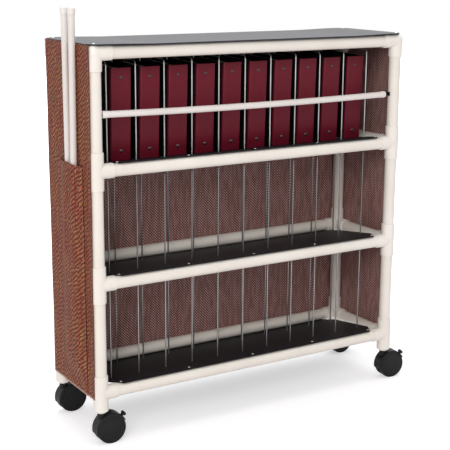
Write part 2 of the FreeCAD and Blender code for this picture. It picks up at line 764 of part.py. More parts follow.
def put_bar(label, at, rotation):
    """Keep a bar and its caps as two nodes; at is the middle of its foot."""
    tube, caps = make_bar(label)
    foot, head = caps
    place(tube, (0, 0, size["cap_face"]))
    tube_seat = doc.addObject("Part::Compound", f"{label}_seat")
    tube_seat.Links = [tube]
    place(head, (0, 0, size["bar_length"]), App.Rotation(X_AXIS, 180))
    pair = doc.addObject("Part::Compound", f"{label}_cap_pair")
    pair.Links = [foot, head]
    keep(label, tube_seat, at, rotation)
    keep(f"{label}_caps", pair, at, rotation)


def make_bars():
    """One bar lies in the clips and two stand in the side pocket, each leaning a little."""
    z = LEVELS["upper"] + size["bar_height"]
    put_bar("retaining_bar", (size["bar_end_left"] - HALF_X, -HALF_Y, z), ALONG_X)
    cap_r = size["cap_diameter"] / 2
    x = -(HALF_X + FITTING_R + size["mesh_gap"] + size["mesh_thickness"] + cap_r + size["rest_gap"])
    for label, spot in (("stored_bar_1", "front"), ("stored_bar_2", "rear")):
        lean = size[f"stored_lean_{spot}"]
        y = size[f"stored_bar_{spot}"] - HALF_Y
        z = size["pocket_floor"] + size["rest_gap"] + cap_r * math.sin(math.radians(abs(lean)))
        put_bar(label, (x, y, z), App.Rotation(X_AXIS, lean))


def make_clips():
    """A saddle on the inner face of each front post with a cradle that is open to the front.
    The cradle holds the bar's cap; the clip's own frame has the bar's axis along X."""
    reach = size["clip_reach"]
    saddle = size["clip_saddle"]
    bore = size["cap_diameter"] / 2 + size["clip_play"]
    jaw = bore + size["clip_wall"]
    lip = 0.55 * jaw
    inner = "(cap_diameter / 2 + clip_play)"
    outer = f"({inner} + clip_wall)"
    ring = cylinder("clip_ring", outer, "clip_reach + clip_saddle", rotation=ALONG_X)
    lips = block("clip_lips", "clip_reach + clip_saddle", f"{lip}", f"2 * {outer}")
    place(lips, (0, -lip, -jaw))
    plate = block(
        "clip_plate", "clip_saddle + pipe_diameter / 4", "clip_saddle_width", "clip_saddle_height"
    )
    place(plate, (reach, -size["clip_saddle_width"] / 2, -size["clip_saddle_height"] / 2))
    solid = fuse("clip_solid", [ring, lips, plate])
    throat = cylinder("clip_throat", inner, "clip_reach", rotation=ALONG_X)
    way_in = block("clip_way_in", "clip_reach", f"2 * {outer}", f"2 * {inner}")
    place(way_in, (0, -2 * jaw, -bore))
    post = cylinder("clip_post", "pipe_diameter / 2 + rest_gap / 6", "3 * clip_saddle_height")
    place(post, (reach + saddle + PIPE_R, 0, -1.5 * size["clip_saddle_height"]))
    clip = cut("bar_clip", solid, fuse("clip_hollow", [throat, way_in, post]))
    x = HALF_X - PIPE_R - saddle - reach
    z = LEVELS["upper"] + size["bar_height"]
    right = copy_of("right_bar_clip", clip, (x, -HALF_Y, z))
    left = copy_of("left_bar_clip", clip, (-x, -HALF_Y, z), App.Rotation(Y_AXIS, 180))
    keep_group("bar_clips", [left, right])


# ---------------------------------------------------------------- casters

def make_sockets():
    """A flanged bush in the lower end of each bottom tee, bored for the caster's stem."""
    body = new_body("caster_socket")
    profile = sketch_on(body, "caster_socket_profile", "XZ_Plane")
    bore = "stem_diameter / 2 + stem_play"
    points = [
        (bore, "-socket_flange_height"),
        ("socket_flange / 2 - 2", "-socket_flange_height"),
        ("socket_flange / 2", "-socket_flange_height + 2"),
        ("socket_flange / 2", "0"),
        ("pipe_diameter / 2", "0"),
        ("pipe_diameter / 2", "socket_insert"),
        (bore, "socket_insert"),
    ]
    guess = [(5.5, -6), (16, -6), (18, -4), (18, 0), (21, 0), (21, 34), (5.5, 34)]
    draw_outline(profile, points, guess)
    revolve(body, profile)
    z = LEVELS["lower"] - size["tee_arm"]
    copies = []
    for corner, (x, y, turn) in CORNERS.items():
        copies.append(copy_of(f"{corner}_socket", body, (x, y, z)))
    keep_group("caster_sockets", copies)


def make_housing():
    """Hood, web, hub and stem boss in one moulding. The stem's axis is the origin's Z axis and
    the wheels trail towards +X."""
    trail = size["caster_trail"]
    axle_z = size["wheel_diameter"] / 2
    half_hood = size["hood_width"] / 2
    half_web = size["web_width"] / 2
    turned = App.Rotation(Y_AXIS, -size["hood_start"]) * App.Rotation(X_AXIS, 90)
    rim = (trail, half_hood, axle_z)
    shell = cylinder("hood", "hood_diameter / 2", "hood_width", rim, turned, "hood_sweep")
    hub = cylinder("hub", "hub_diameter / 2", "web_width")
    place(hub, (trail, -half_web, axle_z), ALONG_Y)
    boss_foot = axle_z + 12
    boss_top = LEVELS["lower"] - size["tee_arm"] - size["socket_flange_height"]
    boss_top -= size["stem_collar_height"] + size["rest_gap"]
    boss = cylinder("boss", "boss_diameter / 2", f"{boss_top - boss_foot}")
    place(boss, (0, 0, boss_foot))
    solid = fuse("housing_solid", [shell, hub, boss])

    spaces = []
    space_r = "hood_diameter / 2 - hood_wall"
    for side, y in (("front", -half_hood - 10), ("rear", half_web)):
        space = cylinder(f"{side}_wheel_space", space_r, "(hood_width - web_width) / 2 + 10")
        spaces.append(place(space, (trail, y, axle_z), ALONG_Y))
    stem_hole = cylinder("stem_hole", "stem_diameter / 2", f"{boss_top - boss_foot}")
    spaces.append(place(stem_hole, (0, 0, boss_foot + 6)))
    axle_hole = cylinder("axle_hole", "axle_diameter / 2", "2 * hood_width")
    spaces.append(place(axle_hole, (trail, -size["hood_width"], axle_z), ALONG_Y))
    return solid, spaces, boss_foot + 6


def make_casters():
    """Four alike: housing, stem and axle, and two wheels. The front pair also has a brake lever
    in a slot of the hood."""
    solid, spaces, stem_foot = make_housing()
    plain = cut("plain_housing", solid, fuse("plain_housing_hollow", spaces))

    trail = size["caster_trail"]
    axle_z = size["wheel_diameter"] / 2
    angle = math.radians(size["lever_angle"])
    pivot = (
        trail + size["lever_radius"] * math.cos(angle),
        0,
        axle_z + size["lever_radius"] * math.sin(angle),
    )
    lean = App.Rotation(Y_AXIS, 90 - size["lever_angle"])

    slot = block("lever_slot", "lever_thickness + 2 * lever_room", "lever_width + 0.6", "40")
    half_slot = size["lever_thickness"] / 2 + size["lever_room"]
    corner = App.Vector(-half_slot, -size["lever_width"] / 2 - 0.3, -7)
    place(slot, App.Vector(*pivot) + lean.multVec(corner), lean)
    pin_hole = cylinder("lever_pin_hole", "lever_pin / 2 + axle_play", "web_width")
    place(pin_hole, (pivot[0], -size["web_width"] / 2, pivot[2]), ALONG_Y)
    with_brake = cut(
        "braked_housing", plain, fuse("braked_housing_hollow", [slot, pin_hole])
    )

    barrel = cylinder("lever_barrel", "lever_thickness / 2 + 1", "lever_width")
    place(barrel, (0, -size["lever_width"] / 2, 0), ALONG_Y)
    pin = cylinder("lever_pin_rod", "lever_pin / 2", "web_width - 0.4")
    place(pin, (0, -size["web_width"] / 2 + 0.2, 0), ALONG_Y)
    shank = block("lever_shank", "lever_thickness", "lever_width", "pedal_reach - 2")
    place(shank, (-size["lever_thickness"] / 2, -size["lever_width"] / 2, 0))
    pedal = block("lever_pedal", "lever_thickness + 4", "pedal_width", "pedal_height")
    pedal_foot = size["pedal_reach"] - size["pedal_height"]
    place(pedal, (-size["lever_thickness"] / 2 - 2, -size["pedal_width"] / 2, pedal_foot))
    lever = fuse("brake_lever", [barrel, pin, shank, pedal])

    stem = new_body("stem")
    profile = sketch_on(stem, "stem_profile", "XZ_Plane")
    shaft = "stem_diameter / 2"
    collar_z = LEVELS["lower"] - size["tee_arm"] - size["socket_flange_height"]
    collar_z -= size["stem_collar_height"] + size["rest_gap"]
    points = [
        ("0", f"{stem_foot}"),
        (shaft, f"{stem_foot}"),
        (shaft, f"{collar_z}"),
        ("stem_collar / 2", f"{collar_z}"),
        ("stem_collar / 2", f"{collar_z} + stem_collar_height"),
        (shaft, f"{collar_z} + stem_collar_height"),
        (shaft, "stem_top"),
        ("0", "stem_top"),
    ]
    guess = [(0, 70), (5, 70), (5, 108), (11, 108), (11, 109), (5, 109), (5, 146), (0, 146)]
    draw_outline(profile, points, guess)
    revolve(stem, profile)
    axle = cylinder("axle", "axle_diameter / 2", "2 * (wheel_inner + wheel_width) - 8")
    half_axle = size["wheel_inner"] + size["wheel_width"] - 4
    place(axle, (trail, -half_axle, axle_z), ALONG_Y)
    steel = doc.addObject("Part::Compound", "stem_and_axle")
    steel.Links = [stem, axle]

    wheel = make_wheel()
    for corner_name, (x, y, turn) in CORNERS.items():
        swivel = App.Rotation(Z_AXIS, CASTER_TURN[corner_name])
        label = f"{corner_name}_caster"
        braked = corner_name.startswith("front")
        source = with_brake if braked else plain
        at = (x, y, 0)
        keep(f"{label}_housing", copy_of(f"{label}_housing_copy", source, at), at, swivel)
        keep(f"{label}_stem", copy_of(f"{label}_stem_copy", steel, at), at, swivel)
        hub = App.Vector(*at) + swivel.multVec(App.Vector(trail, 0, axle_z))
        for side, flip in (("outer", 0), ("inner", 180)):
            rotation = swivel * App.Rotation(Z_AXIS, flip)
            name = f"{label}_{side}_wheel"
            keep(name, copy_of(f"{name}_copy", wheel, hub, rotation), hub, rotation)
        if braked:
            spot = App.Vector(*at) + swivel.multVec(App.Vector(*pivot))
            name = f"{corner_name}_brake_lever"
            keep(name, copy_of(f"{name}_copy", lever, spot, swivel * lean), spot, swivel * lean)


def make_wheel():
    """A wheel on the -Y side of the caster's centre plane, about the Y axis through the origin,
    with a closed, slightly domed cover and a blind bore."""
    body = new_body("wheel")
    profile = sketch_on(body, "wheel_profile", "YZ_Plane")
    bore = "axle_diameter / 2 + axle_play"
    rim = "wheel_diameter / 2"
    inner = "-wheel_inner"
    outer = "-(wheel_inner + wheel_width)"
    points = [
        (inner, bore),
        (inner, f"{rim} - 2"),
        (f"{inner} - 2", rim),
        (f"{outer} + 3", rim),
        (outer, f"{rim} - 3"),
        (outer, f"{rim} * 0.8"),
        (f"{outer} - wheel_dome", f"{rim} * 0.6"),
        (f"{outer} - wheel_dome", "0"),
        (f"{outer} + 3.5", "0"),
        (f"{outer} + 3.5", bore),
    ]
    guess = [
        (-7.6, 4), (-7.6, 49), (-9.6, 51), (-18.8, 51), (-21.8, 48), (-21.8, 41),
        (-23.6, 31), (-23.6, 0), (-18.3, 0), (-18.3, 4),
    ]
    draw_outline(profile, points, guess)
    revolve(body, profile, "H_Axis")
    return body


# ---------------------------------------------------------------- ring binders

def make_binder():
    """A binder with its foot at z = 0 and its spine's face at y = 0: a wrap-round cover, the
    ring plate on the inside of the spine and a block of pages."""
    board = size["binder_board"]
    width = size["binder_width"]
    outer = block("binder_outside", "binder_width", "binder_depth", "binder_tall")
    place(outer, (-width / 2, 0, 0))
    inner = block(
        "binder_inside", "binder_width - 2 * binder_board", "binder_depth", "binder_tall + 2"
    )
    place(inner, (board - width / 2, board, -1))
    cover = cut("binder_cover", outer, inner)
    plate = block("binder_ring_plate", "ring_plate", "4", "pages_tall - 20")
    place(plate, (-size["ring_plate"] / 2, board, 20))
    pages = block("binder_pages", "pages_width", "pages_depth", "pages_tall")
    place(pages, (-size["pages_width"] / 2, board + 14, 10))
    binder = doc.addObject("Part::Compound", "binder")
    binder.Links = [cover, plate, pages]
    return binder


def make_binders():
    """Ten binders, one in each bay of the upper shelf. A binder's front edge stands on the
    sloping shelf and its rear edge on the rear rail, so it leans forward a little."""
    binder = make_binder()
    front = size["binder_front"]
    front_z = sheet_height(front, size["shelf_thickness"]) + size["rest_gap"]
    rear_z = PIPE_R + size["rest_gap"]
    lean = math.degrees(math.atan2(rear_z - front_z, size["post_spacing_y"] - front))
    rotation = App.Rotation(X_AXIS, lean)
    for index in range(10):
        x = (index - 4.5) * size["divider_pitch"]
        at = (x, front - HALF_Y, LEVELS["upper"] + front_z)
        name = f"binder_{index + 1:02d}"
        keep(name, copy_of(f"{name}_copy", binder, at, rotation), at, rotation)


# ---------------------------------------------------------------- build

make_posts()
make_rails()
make_fittings()
for shelf_level in SHELVES:
    make_shelf(shelf_level)
    make_dividers(shelf_level)
make_top()
make_screws()
make_cover()
make_pocket()
make_bars()
make_clips()
make_sockets()
make_casters()
make_binders()
doc.recompute()

for item in doc.Objects:
    if {"Invalid", "Error"} & set(item.State):
        raise RuntimeError(f"{item.Name} failed: {item.State}")
for item in nodes:
    if item.Shape.isNull() or not item.Shape.isValid():
        raise RuntimeError(f"{item.Label} has no valid shape")

os.makedirs("parts", exist_ok=True)
for item in nodes:
    item.Shape.exportStep(f"parts/{item.Label}.step")
print(f"{len(nodes)} nodes written")
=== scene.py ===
import json
import math

import bmesh
import bpy
from mathutils import Matrix, Vector, noise


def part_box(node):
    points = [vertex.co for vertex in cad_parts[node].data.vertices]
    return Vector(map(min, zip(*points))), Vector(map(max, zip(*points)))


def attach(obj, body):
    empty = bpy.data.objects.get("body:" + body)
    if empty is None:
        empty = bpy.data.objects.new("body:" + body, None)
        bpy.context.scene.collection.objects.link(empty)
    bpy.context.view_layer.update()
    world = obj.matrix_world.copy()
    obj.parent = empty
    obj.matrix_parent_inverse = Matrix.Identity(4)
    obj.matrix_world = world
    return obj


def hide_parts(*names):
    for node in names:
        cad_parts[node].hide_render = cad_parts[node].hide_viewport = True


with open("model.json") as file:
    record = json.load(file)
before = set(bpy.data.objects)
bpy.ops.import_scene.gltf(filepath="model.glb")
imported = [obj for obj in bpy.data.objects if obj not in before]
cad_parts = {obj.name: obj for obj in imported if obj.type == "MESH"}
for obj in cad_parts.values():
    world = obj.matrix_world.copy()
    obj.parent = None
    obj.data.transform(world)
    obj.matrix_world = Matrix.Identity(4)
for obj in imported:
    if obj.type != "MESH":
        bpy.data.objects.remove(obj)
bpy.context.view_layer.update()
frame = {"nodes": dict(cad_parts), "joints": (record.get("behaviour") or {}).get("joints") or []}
nodes = frame["nodes"]

# ---------------------------------------------------------------- camera
# The camera stands at the left of the open front, a little above the rack's top, and looks
# down on it by thirteen degrees. Its place is in the frame of the CAD, in metres.
CAMERA_PLACE = Vector((-2.0503, -3.2727, 1.5628))
CAMERA_YAW = math.radians(31.584)
CAMERA_PITCH = math.radians(13.46)
CAMERA_ROLL = math.radians(0.364)
CAMERA_LENS = 88.69
CAMERA_SENSOR = 36.0
CAMERA_REACH = 100.0

camera = bpy.data.objects.new("camera", bpy.data.cameras.new("camera"))
bpy.context.scene.collection.objects.link(camera)
camera.data.sensor_width = CAMERA_SENSOR
camera.data.lens = CAMERA_LENS
camera.data.clip_end = CAMERA_REACH
camera.location = CAMERA_PLACE
ahead = Vector((
    math.sin(CAMERA_YAW) * math.cos(CAMERA_PITCH),
    math.cos(CAMERA_YAW) * math.cos(CAMERA_PITCH),
    -math.sin(CAMERA_PITCH),
))
level = Vector((math.cos(CAMERA_YAW), -math.sin(CAMERA_YAW), 0.0))
rise = level.cross(ahead)
right = level * math.cos(CAMERA_ROLL) + rise * math.sin(CAMERA_ROLL)
up = right.cross(ahead)
camera.rotation_mode = "QUATERNION"
camera.rotation_quaternion = Matrix((right, up, -ahead)).transposed().to_quaternion()
bpy.context.scene.camera = camera
bpy.context.scene.view_settings.view_transform = "Standard"

# ---------------------------------------------------------------- floor and light
# A white studio sweep: a pale floor that keeps the soft shadow, a white surround, one broad
# lamp from the front left and one from overhead. The floor turns white away from the rack.
WHITE = (1.0, 1.0, 1.0, 1.0)
FILL_TINT = (0.96, 0.98, 1.0, 1.0)
FILL_STRENGTH = 0.56
FLOOR_HALF = 14.0
FLOOR_TINT = (0.97, 0.945, 0.955, 1.0)
FLOOR_GLOW = 2.3
WHITE_NEAR = 0.2
WHITE_FROM = 0.9
WHITE_RISE = 0.7


def link(tree, source, target):
    """Link an input to a socket, or give it a plain value."""
    if isinstance(source, bpy.types.NodeSocket):
        tree.links.new(source, target)
    else:
        target.default_value = source


def feed(node, **values):
    """Link or set inputs of a node, in whose names an underscore stands for a space."""
    for title, value in values.items():
        link(node.id_data, value, node.inputs[title.replace("_", " ")])
    return node


def add(tree, kind, **values):
    """A new shader node with its inputs fed."""
    return feed(tree.nodes.new("ShaderNode" + kind), **values)


def maths(tree, operation, *values, clamp=False):
    """A Math node; each value is a number or a socket."""
    node = add(tree, "Math")
    node.operation = operation
    node.use_clamp = clamp
    for value, target in zip(values, node.inputs):
        link(tree, value, target)
    return node.outputs[0]


def blended(tree, share, first, second):
    """A mix of two shaders."""
    node = add(tree, "MixShader")
    for value, target in zip((share, first, second), node.inputs):
        link(tree, value, target)
    return node.outputs[0]


def new_material(name):
    """A new material, its node tree and its Principled shader."""
    material = bpy.data.materials.new(name)
    material.use_nodes = True
    return material, material.node_tree, material.node_tree.nodes["Principled BSDF"]


surround = bpy.data.worlds.new("studio")
surround.use_nodes = True
bpy.context.scene.world = surround
studio = surround.node_tree
studio.nodes.clear()
fill_light = add(studio, "Background", Color=FILL_TINT, Strength=FILL_STRENGTH)
plain_light = add(studio, "Background", Color=WHITE, Strength=1.0)
ray = add(studio, "LightPath").outputs
seen = maths(studio, "MAXIMUM", ray["Is Camera Ray"], ray["Is Glossy Ray"])
seen = maths(studio, "MAXIMUM", seen, ray["Is Transmission Ray"])
backdrop = blended(studio, seen, fill_light.outputs[0], plain_light.outputs[0])
add(studio, "OutputWorld", Surface=backdrop)

floor_mesh = bpy.data.meshes.new("floor")
floor_mesh.from_pydata(
    [(-FLOOR_HALF, -FLOOR_HALF, 0), (FLOOR_HALF, -FLOOR_HALF, 0),
     (FLOOR_HALF, FLOOR_HALF, 0), (-FLOOR_HALF, FLOOR_HALF, 0)],
    [], [(0, 1, 2, 3)],
)
floor = bpy.data.objects.new("floor", floor_mesh)
bpy.context.scene.collection.objects.link(floor)
floor_paint, floor_tree, floor_face = new_material("studio_floor")
feed(floor_face, Base_Color=FLOOR_TINT, Roughness=0.9, Specular_IOR_Level=0.1)
plain_white = add(floor_tree, "Emission", Color=WHITE, Strength=FLOOR_GLOW)
to_lens = add(floor_tree, "LightPath").outputs["Is Camera Ray"]
from_rack = add(floor_tree, "VectorMath")
from_rack.operation = "LENGTH"
link(floor_tree, add(floor_tree, "NewGeometry").outputs["Position"], from_rack.inputs[0])
away = maths(floor_tree, "MULTIPLY_ADD", from_rack.outputs["Value"], WHITE_RISE,
             -WHITE_RISE * WHITE_FROM, clamp=True)
whitening = maths(floor_tree, "MULTIPLY_ADD", away, 1.0 - WHITE_NEAR, WHITE_NEAR)
whiten = maths(floor_tree, "MULTIPLY", to_lens, whitening)
floor_look = blended(floor_tree, whiten, floor_face.outputs[0], plain_white.outputs[0])
feed(floor_tree.nodes["Material Output"], Surface=floor_look)
floor_mesh.materials.append(floor_paint)


def lamp(name, place, aim, width, watts, tint):
    """A square area lamp that points from place to aim."""
    data = bpy.data.lights.new(name, "AREA")
    data.shape = "SQUARE"
    data.size = width
    data.energy = watts
    data.color = tint
    item = bpy.data.objects.new(name, data)
    bpy.context.scene.collection.objects.link(item)
    item.location = place
    item.rotation_mode = "QUATERNION"
    item.rotation_quaternion = (Vector(aim) - Vector(place)).to_track_quat("-Z", "Y")


lamp("key_light", (-3.6, -4.2, 3.4), (0, 0, 0.7), 2.6, 146.0, (1.0, 0.985, 0.96))
lamp("overhead_light", (0.3, 0.6, 4.6), (0, 0, 0.6), 4.0, 110.0, (1.0, 1.0, 1.0))

# ---------------------------------------------------------------- pipes and fittings
# The frame is furniture-grade PVC: extruded pipe pushed and cemented into moulded elbows and
# tees, all ivory, with a satin gloss that is a little duller and warmer where it is handled.
GRAIN_RELIEF = 0.0004
CORNERS = ("front_left", "front_right", "rear_left", "rear_right")


def new_group(name, inlets, outlets):
    """A shader node group; inlets are (name, kind, value) rows and outlets name plain numbers."""
    group = bpy.data.node_groups.new(name, "ShaderNodeTree")
    for title, kind, value in inlets:
        socket = group.interface.new_socket(name=title, in_out="INPUT", socket_type=kind)
        if value is not None:
            socket.default_value = value
    for title in outlets:
        group.interface.new_socket(name=title, in_out="OUTPUT", socket_type="NodeSocketFloat")
    return group, group.nodes.new("NodeGroupInput"), group.nodes.new("NodeGroupOutput")


def add_group(tree, group, **values):
    """A node that stands for a group, with its inputs fed."""
    node = add(tree, "Group")
    node.node_tree = group
    return feed(node, **values)


def mixed(tree, share, first, second):
    """A colour mix; share, first and second are each a value or a socket."""
    node = add(tree, "Mix")
    node.data_type = "RGBA"
    for index, value in ((0, share), (6, first), (7, second)):
        link(tree, value, node.inputs[index])
    return node.outputs[2]


def rescaled(tree, value, low, high, to_low, to_high):
    """A value from low to high, moved to run from to_low to to_high."""
    return add(tree, "MapRange", Value=value, From_Min=low, From_Max=high, To_Min=to_low,
               To_Max=to_high).outputs["Result"]


def cloud(tree, place, scale, detail=3.0, rough=0.5):
    """Soft noise from 0 to 1; scale is a number or a socket."""
    return add(tree, "TexNoise", Vector=place, Scale=scale, Detail=detail,
               Roughness=rough).outputs["Fac"]


def add_relief(tree, face, height, strength, distance):
    """Raise the surface of a Principled shader by a height from 0 to 1."""
    relief = add(tree, "Bump", Height=height, Strength=strength, Distance=distance)
    feed(face, Normal=relief.outputs["Normal"])


def make_mottle():
    """Slow change of shade and gloss over a moulded surface, with fine scuffs on top."""
    group, entry, leave = new_group(
        "moulding_mottle",
        [("Scale", "NodeSocketFloat", 6.0), ("Scuff Scale", "NodeSocketFloat", 90.0)],
        ["Shade", "Scuff"],
    )
    place = add(group, "TexCoord").outputs["Object"]
    feed(leave, Shade=cloud(group, place, entry.outputs["Scale"], 2.0),
         Scuff=cloud(group, place, entry.outputs["Scuff Scale"], 4.0, 0.65))
    return group


mottle = make_mottle()


def moulded(name, dark, light, gloss, scuff=0.06, scale=6.0, scuff_scale=90.0, bump=0.0, sheen=0.5):
    """A moulded or extruded plastic: two near shades, a roughness that wanders by scuff, and
    sheen for the strength of its reflections."""
    material, tree, face = new_material(name)
    spots = add_group(tree, mottle, Scale=scale, Scuff_Scale=scuff_scale).outputs
    share = rescaled(tree, spots["Shade"], 0.3, 0.7, 0.0, 1.0)
    feed(face, Base_Color=mixed(tree, share, (*dark, 1.0), (*light, 1.0)),
         Roughness=rescaled(tree, spots["Scuff"], 0.25, 0.75, gloss - scuff, gloss + scuff),
         Specular_IOR_Level=sheen)
    if bump:
        add_relief(tree, face, spots["Scuff"], bump, GRAIN_RELIEF)
    return material


def finish_node(node, material):
    """Give a CAD node its finish."""
    slots = nodes[node].data.materials
    slots.clear()
    slots.append(material)


ivory_pipe = moulded("ivory_pvc_pipe", (0.80, 0.735, 0.66), (0.86, 0.80, 0.73), 0.36)
ivory_fitting = moulded("ivory_pvc_fitting", (0.82, 0.76, 0.69), (0.87, 0.82, 0.76), 0.42)
for corner in CORNERS:
    finish_node(f"{corner}_post", ivory_pipe)
for rail_level in ("top", "upper", "middle", "lower"):
    finish_node(f"{rail_level}_rails", ivory_pipe)
for fitting in ("top_corner_elbows", "upper_corner_tees", "middle_corner_tees",
                "lower_corner_tees", "caster_sockets"):
    finish_node(fitting, ivory_fitting)

# ---------------------------------------------------------------- shelves and top sheet
# Black plastic sheet, sawn to shape and screwed down. Its face has a fine satin grain that
# lies flat, so the top takes the light of the room at a low angle. The sheet is given in two
# copies: the shelves' copy is darker and duller, a painted shade for the shaded bays, and the
# top's copy is lighter and bluer, with a stronger sheen, painted light where it lies open.
# Painted shade: the shelves' copy of the sheet is darker and duller than the top's.
shelf_sheet_painted_shade = moulded("black_shelf_sheet", (0.006, 0.006, 0.008), (0.010, 0.010, 0.013), 0.5,
                      0.07, 3.0, 260.0, bump=0.25, sheen=0.16)
# Painted light: the top's copy is lighter and bluer than the shelves', with a stronger sheen.
top_sheet_painted_light = moulded("black_top_sheet", (0.014, 0.013, 0.019), (0.024, 0.022, 0.032), 0.36,
                    0.07, 3.0, 260.0, bump=0.25, sheen=0.40)
feed(top_sheet_painted_light.node_tree.nodes["Principled BSDF"], Specular_Tint=(0.93, 0.91, 1.0, 1.0))
for shelf in ("lower_shelf", "middle_shelf", "upper_shelf"):
    finish_node(shelf, shelf_sheet_painted_shade)
finish_node("top_sheet", top_sheet_painted_light)

# ---------------------------------------------------------------- wire dividers
# Each divider is one length of drawn steel wire, bent to an inverted U. Its legs pass through
# the shelf and are swaged into small heads beneath it. The wires of each shelf are painted a
# brightness of their own, as painted light and shade: the upper shelf's wires are brightest,
# and the middle shelf's, under the upper shelf, are darkest.
FRAME_X = -0.01335
POST_Y = 0.156
SHELF_DROP = 0.0452
SHELF_SPAN = 0.312
SHELF_SLOPE = math.asin(SHELF_DROP / SHELF_SPAN)
DIVIDERS = 11
DIVIDER_PITCH = 0.1044
DIVIDER_FRONT = 0.072 - POST_Y
DIVIDER_REAR = 0.242 - POST_Y
WIRE_RADIUS = 0.0024
WIRE_BEND = 0.014
WIRE_SIDES = 12
HEAD_HEIGHT = 0.0025
HEAD_STACK = [(0.0, 0.0024), (0.0006, 0.004), (0.0018, 0.004), (HEAD_HEIGHT, 0.0028)]


def new_piece(name, mesh, body, slot, *materials):
    """Put a finished mesh into the scene on a body of the rack."""
    piece = bpy.data.objects.new(name, mesh)
    bpy.context.scene.collection.objects.link(piece)
    for material in materials:
        mesh.materials.append(material)
    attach(piece, body)
    return piece


def finish_mesh(bm, name, sharp_angle=None, outward=True):
    """A mesh of a bmesh, with its faces outward, and smooth but for edges past a sharp_angle."""
    if outward:
        bmesh.ops.recalc_face_normals(bm, faces=bm.faces[:])
    mesh = bpy.data.meshes.new(name)
    bm.to_mesh(mesh)
    bm.free()
    if sharp_angle:
        mesh.shade_smooth()
        mesh.set_sharp_from_angle(angle=sharp_angle)
    return mesh


def circle(centre, side, across, radius, sides):
    """Points evenly round a circle in the plane of side and across."""
    turns = [2 * math.pi * step / sides for step in range(sides)]
    return [centre + (side * math.cos(by) + across * math.sin(by)) * radius for by in turns]


def bridge(bm, first, second):
    """Faces between two closed rings of as many vertices."""
    faces = []
    for step in range(len(first)):
        after = (step + 1) % len(first)
        faces.append(bm.faces.new((first[step], first[after], second[after], second[step])))
    return faces


def skin(bm, rings):
    """Faces along a row of closed rings, with both ends filled."""
    for first, second in zip(rings, rings[1:]):
        bridge(bm, first, second)
    bm.faces.new(rings[0][::-1])
    bm.faces.new(rings[-1])


def sweep(bm, path, radii, sides):
    """Skin a round section along a path; radii is one per point."""
    rings = []
    side = Vector((1.0, 0.0, 0.0))
    for index, point in enumerate(path):
        before = path[max(index - 1, 0)]
        after = path[min(index + 1, len(path) - 1)]
        along = (after - before).normalized()
        side = (side - along * side.dot(along)).normalized()
        ring = circle(point, side, along.cross(side), radii[index], sides)
        rings.append([bm.verts.new(spot) for spot in ring])
    skin(bm, rings)


def divider_path(front, rear, foot_front, foot_rear, crown, bend):
    """Points of one wire in the plane of Y and Z, from its front foot to its rear foot."""
    points = [Vector((0, front, foot_front))]
    turns = [math.pi / 2 * step / 8 for step in range(9)]
    for turn_by in turns:
        points.append(Vector((0, front + bend - bend * math.cos(turn_by),
                              crown - bend + bend * math.sin(turn_by))))
    for turn_by in turns:
        points.append(Vector((0, rear - bend + bend * math.sin(turn_by),
                              crown - bend + bend * math.cos(turn_by))))
    points.append(Vector((0, rear, foot_rear)))
    return points


def drawn_steel(name, dark, light, gloss, metal=1.0):
    """Bright steel with long faint streaks from the die."""
    material, tree, face = new_material(name)
    place = add(tree, "TexCoord").outputs["Object"]
    stretched = add(tree, "Mapping", Vector=place, Scale=(1.0, 1.0, 0.02)).outputs["Vector"]
    streak = cloud(tree, stretched, 900.0)
    share = rescaled(tree, streak, 0.35, 0.65, 0.0, 1.0)
    feed(face, Base_Color=mixed(tree, share, (*dark, 1.0), (*light, 1.0)),
         Roughness=rescaled(tree, streak, 0.3, 0.7, gloss - 0.08, gloss + 0.08), Metallic=metal)
    return material


# Painted light and shade: one steel in three brightnesses, one for the wires of each shelf.
wire_steels_painted_light = {
    "lower": drawn_steel("lower_divider_wire", (0.30, 0.30, 0.295), (0.46, 0.46, 0.45), 0.38),
    "middle": drawn_steel("middle_divider_wire", (0.20, 0.20, 0.20), (0.34, 0.34, 0.335), 0.36),
    "upper": drawn_steel("upper_divider_wire", (0.52, 0.52, 0.51), (0.70, 0.70, 0.69), 0.42),
}

for level_name, wire_steel in wire_steels_painted_light.items():
    low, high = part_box(f"{level_name}_dividers")
    crown = high.z - WIRE_RADIUS
    rear_foot = low.z + HEAD_HEIGHT
    front_foot = rear_foot + (DIVIDER_REAR - DIVIDER_FRONT) * math.tan(SHELF_SLOPE)
    bm = bmesh.new()
    for index in range(DIVIDERS):
        shift = Vector((FRAME_X + (index - DIVIDERS // 2) * DIVIDER_PITCH, 0, 0))
        path = divider_path(DIVIDER_FRONT, DIVIDER_REAR, front_foot, rear_foot, crown, WIRE_BEND)
        sweep(bm, [shift + point for point in path], [WIRE_RADIUS] * len(path), WIRE_SIDES)
        for leg, foot in ((DIVIDER_FRONT, front_foot), (DIVIDER_REAR, rear_foot)):
            line = [shift + Vector((0, leg, foot - HEAD_HEIGHT + up_by)) for up_by, _ in HEAD_STACK]
            sweep(bm, line, [radius for _, radius in HEAD_STACK], WIRE_SIDES)
    mesh = finish_mesh(bm, f"{level_name}_divider_wires", 0.6, outward=False)
    wires = new_piece(f"{level_name}_divider_wires", mesh, "frame", "divider_wire", wire_steel)
    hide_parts(f"{level_name}_dividers")

# ---------------------------------------------------------------- screws
# Plated, domed screws hold the shelves to the rails and the top sheet to its four elbows. The
# plating is bright. It is given only part metal, so the heads show white in their own colour,
# a painted highlight for the glint of their domes.
# Painted highlight: a bright base at part metal makes the heads white. The binder rings share it.
plate_with_painted_glint = drawn_steel("plated_screw", (0.82, 0.82, 0.80), (0.93, 0.93, 0.91), 0.4, metal=0.6)
finish_node("sheet_screws", plate_with_painted_glint)

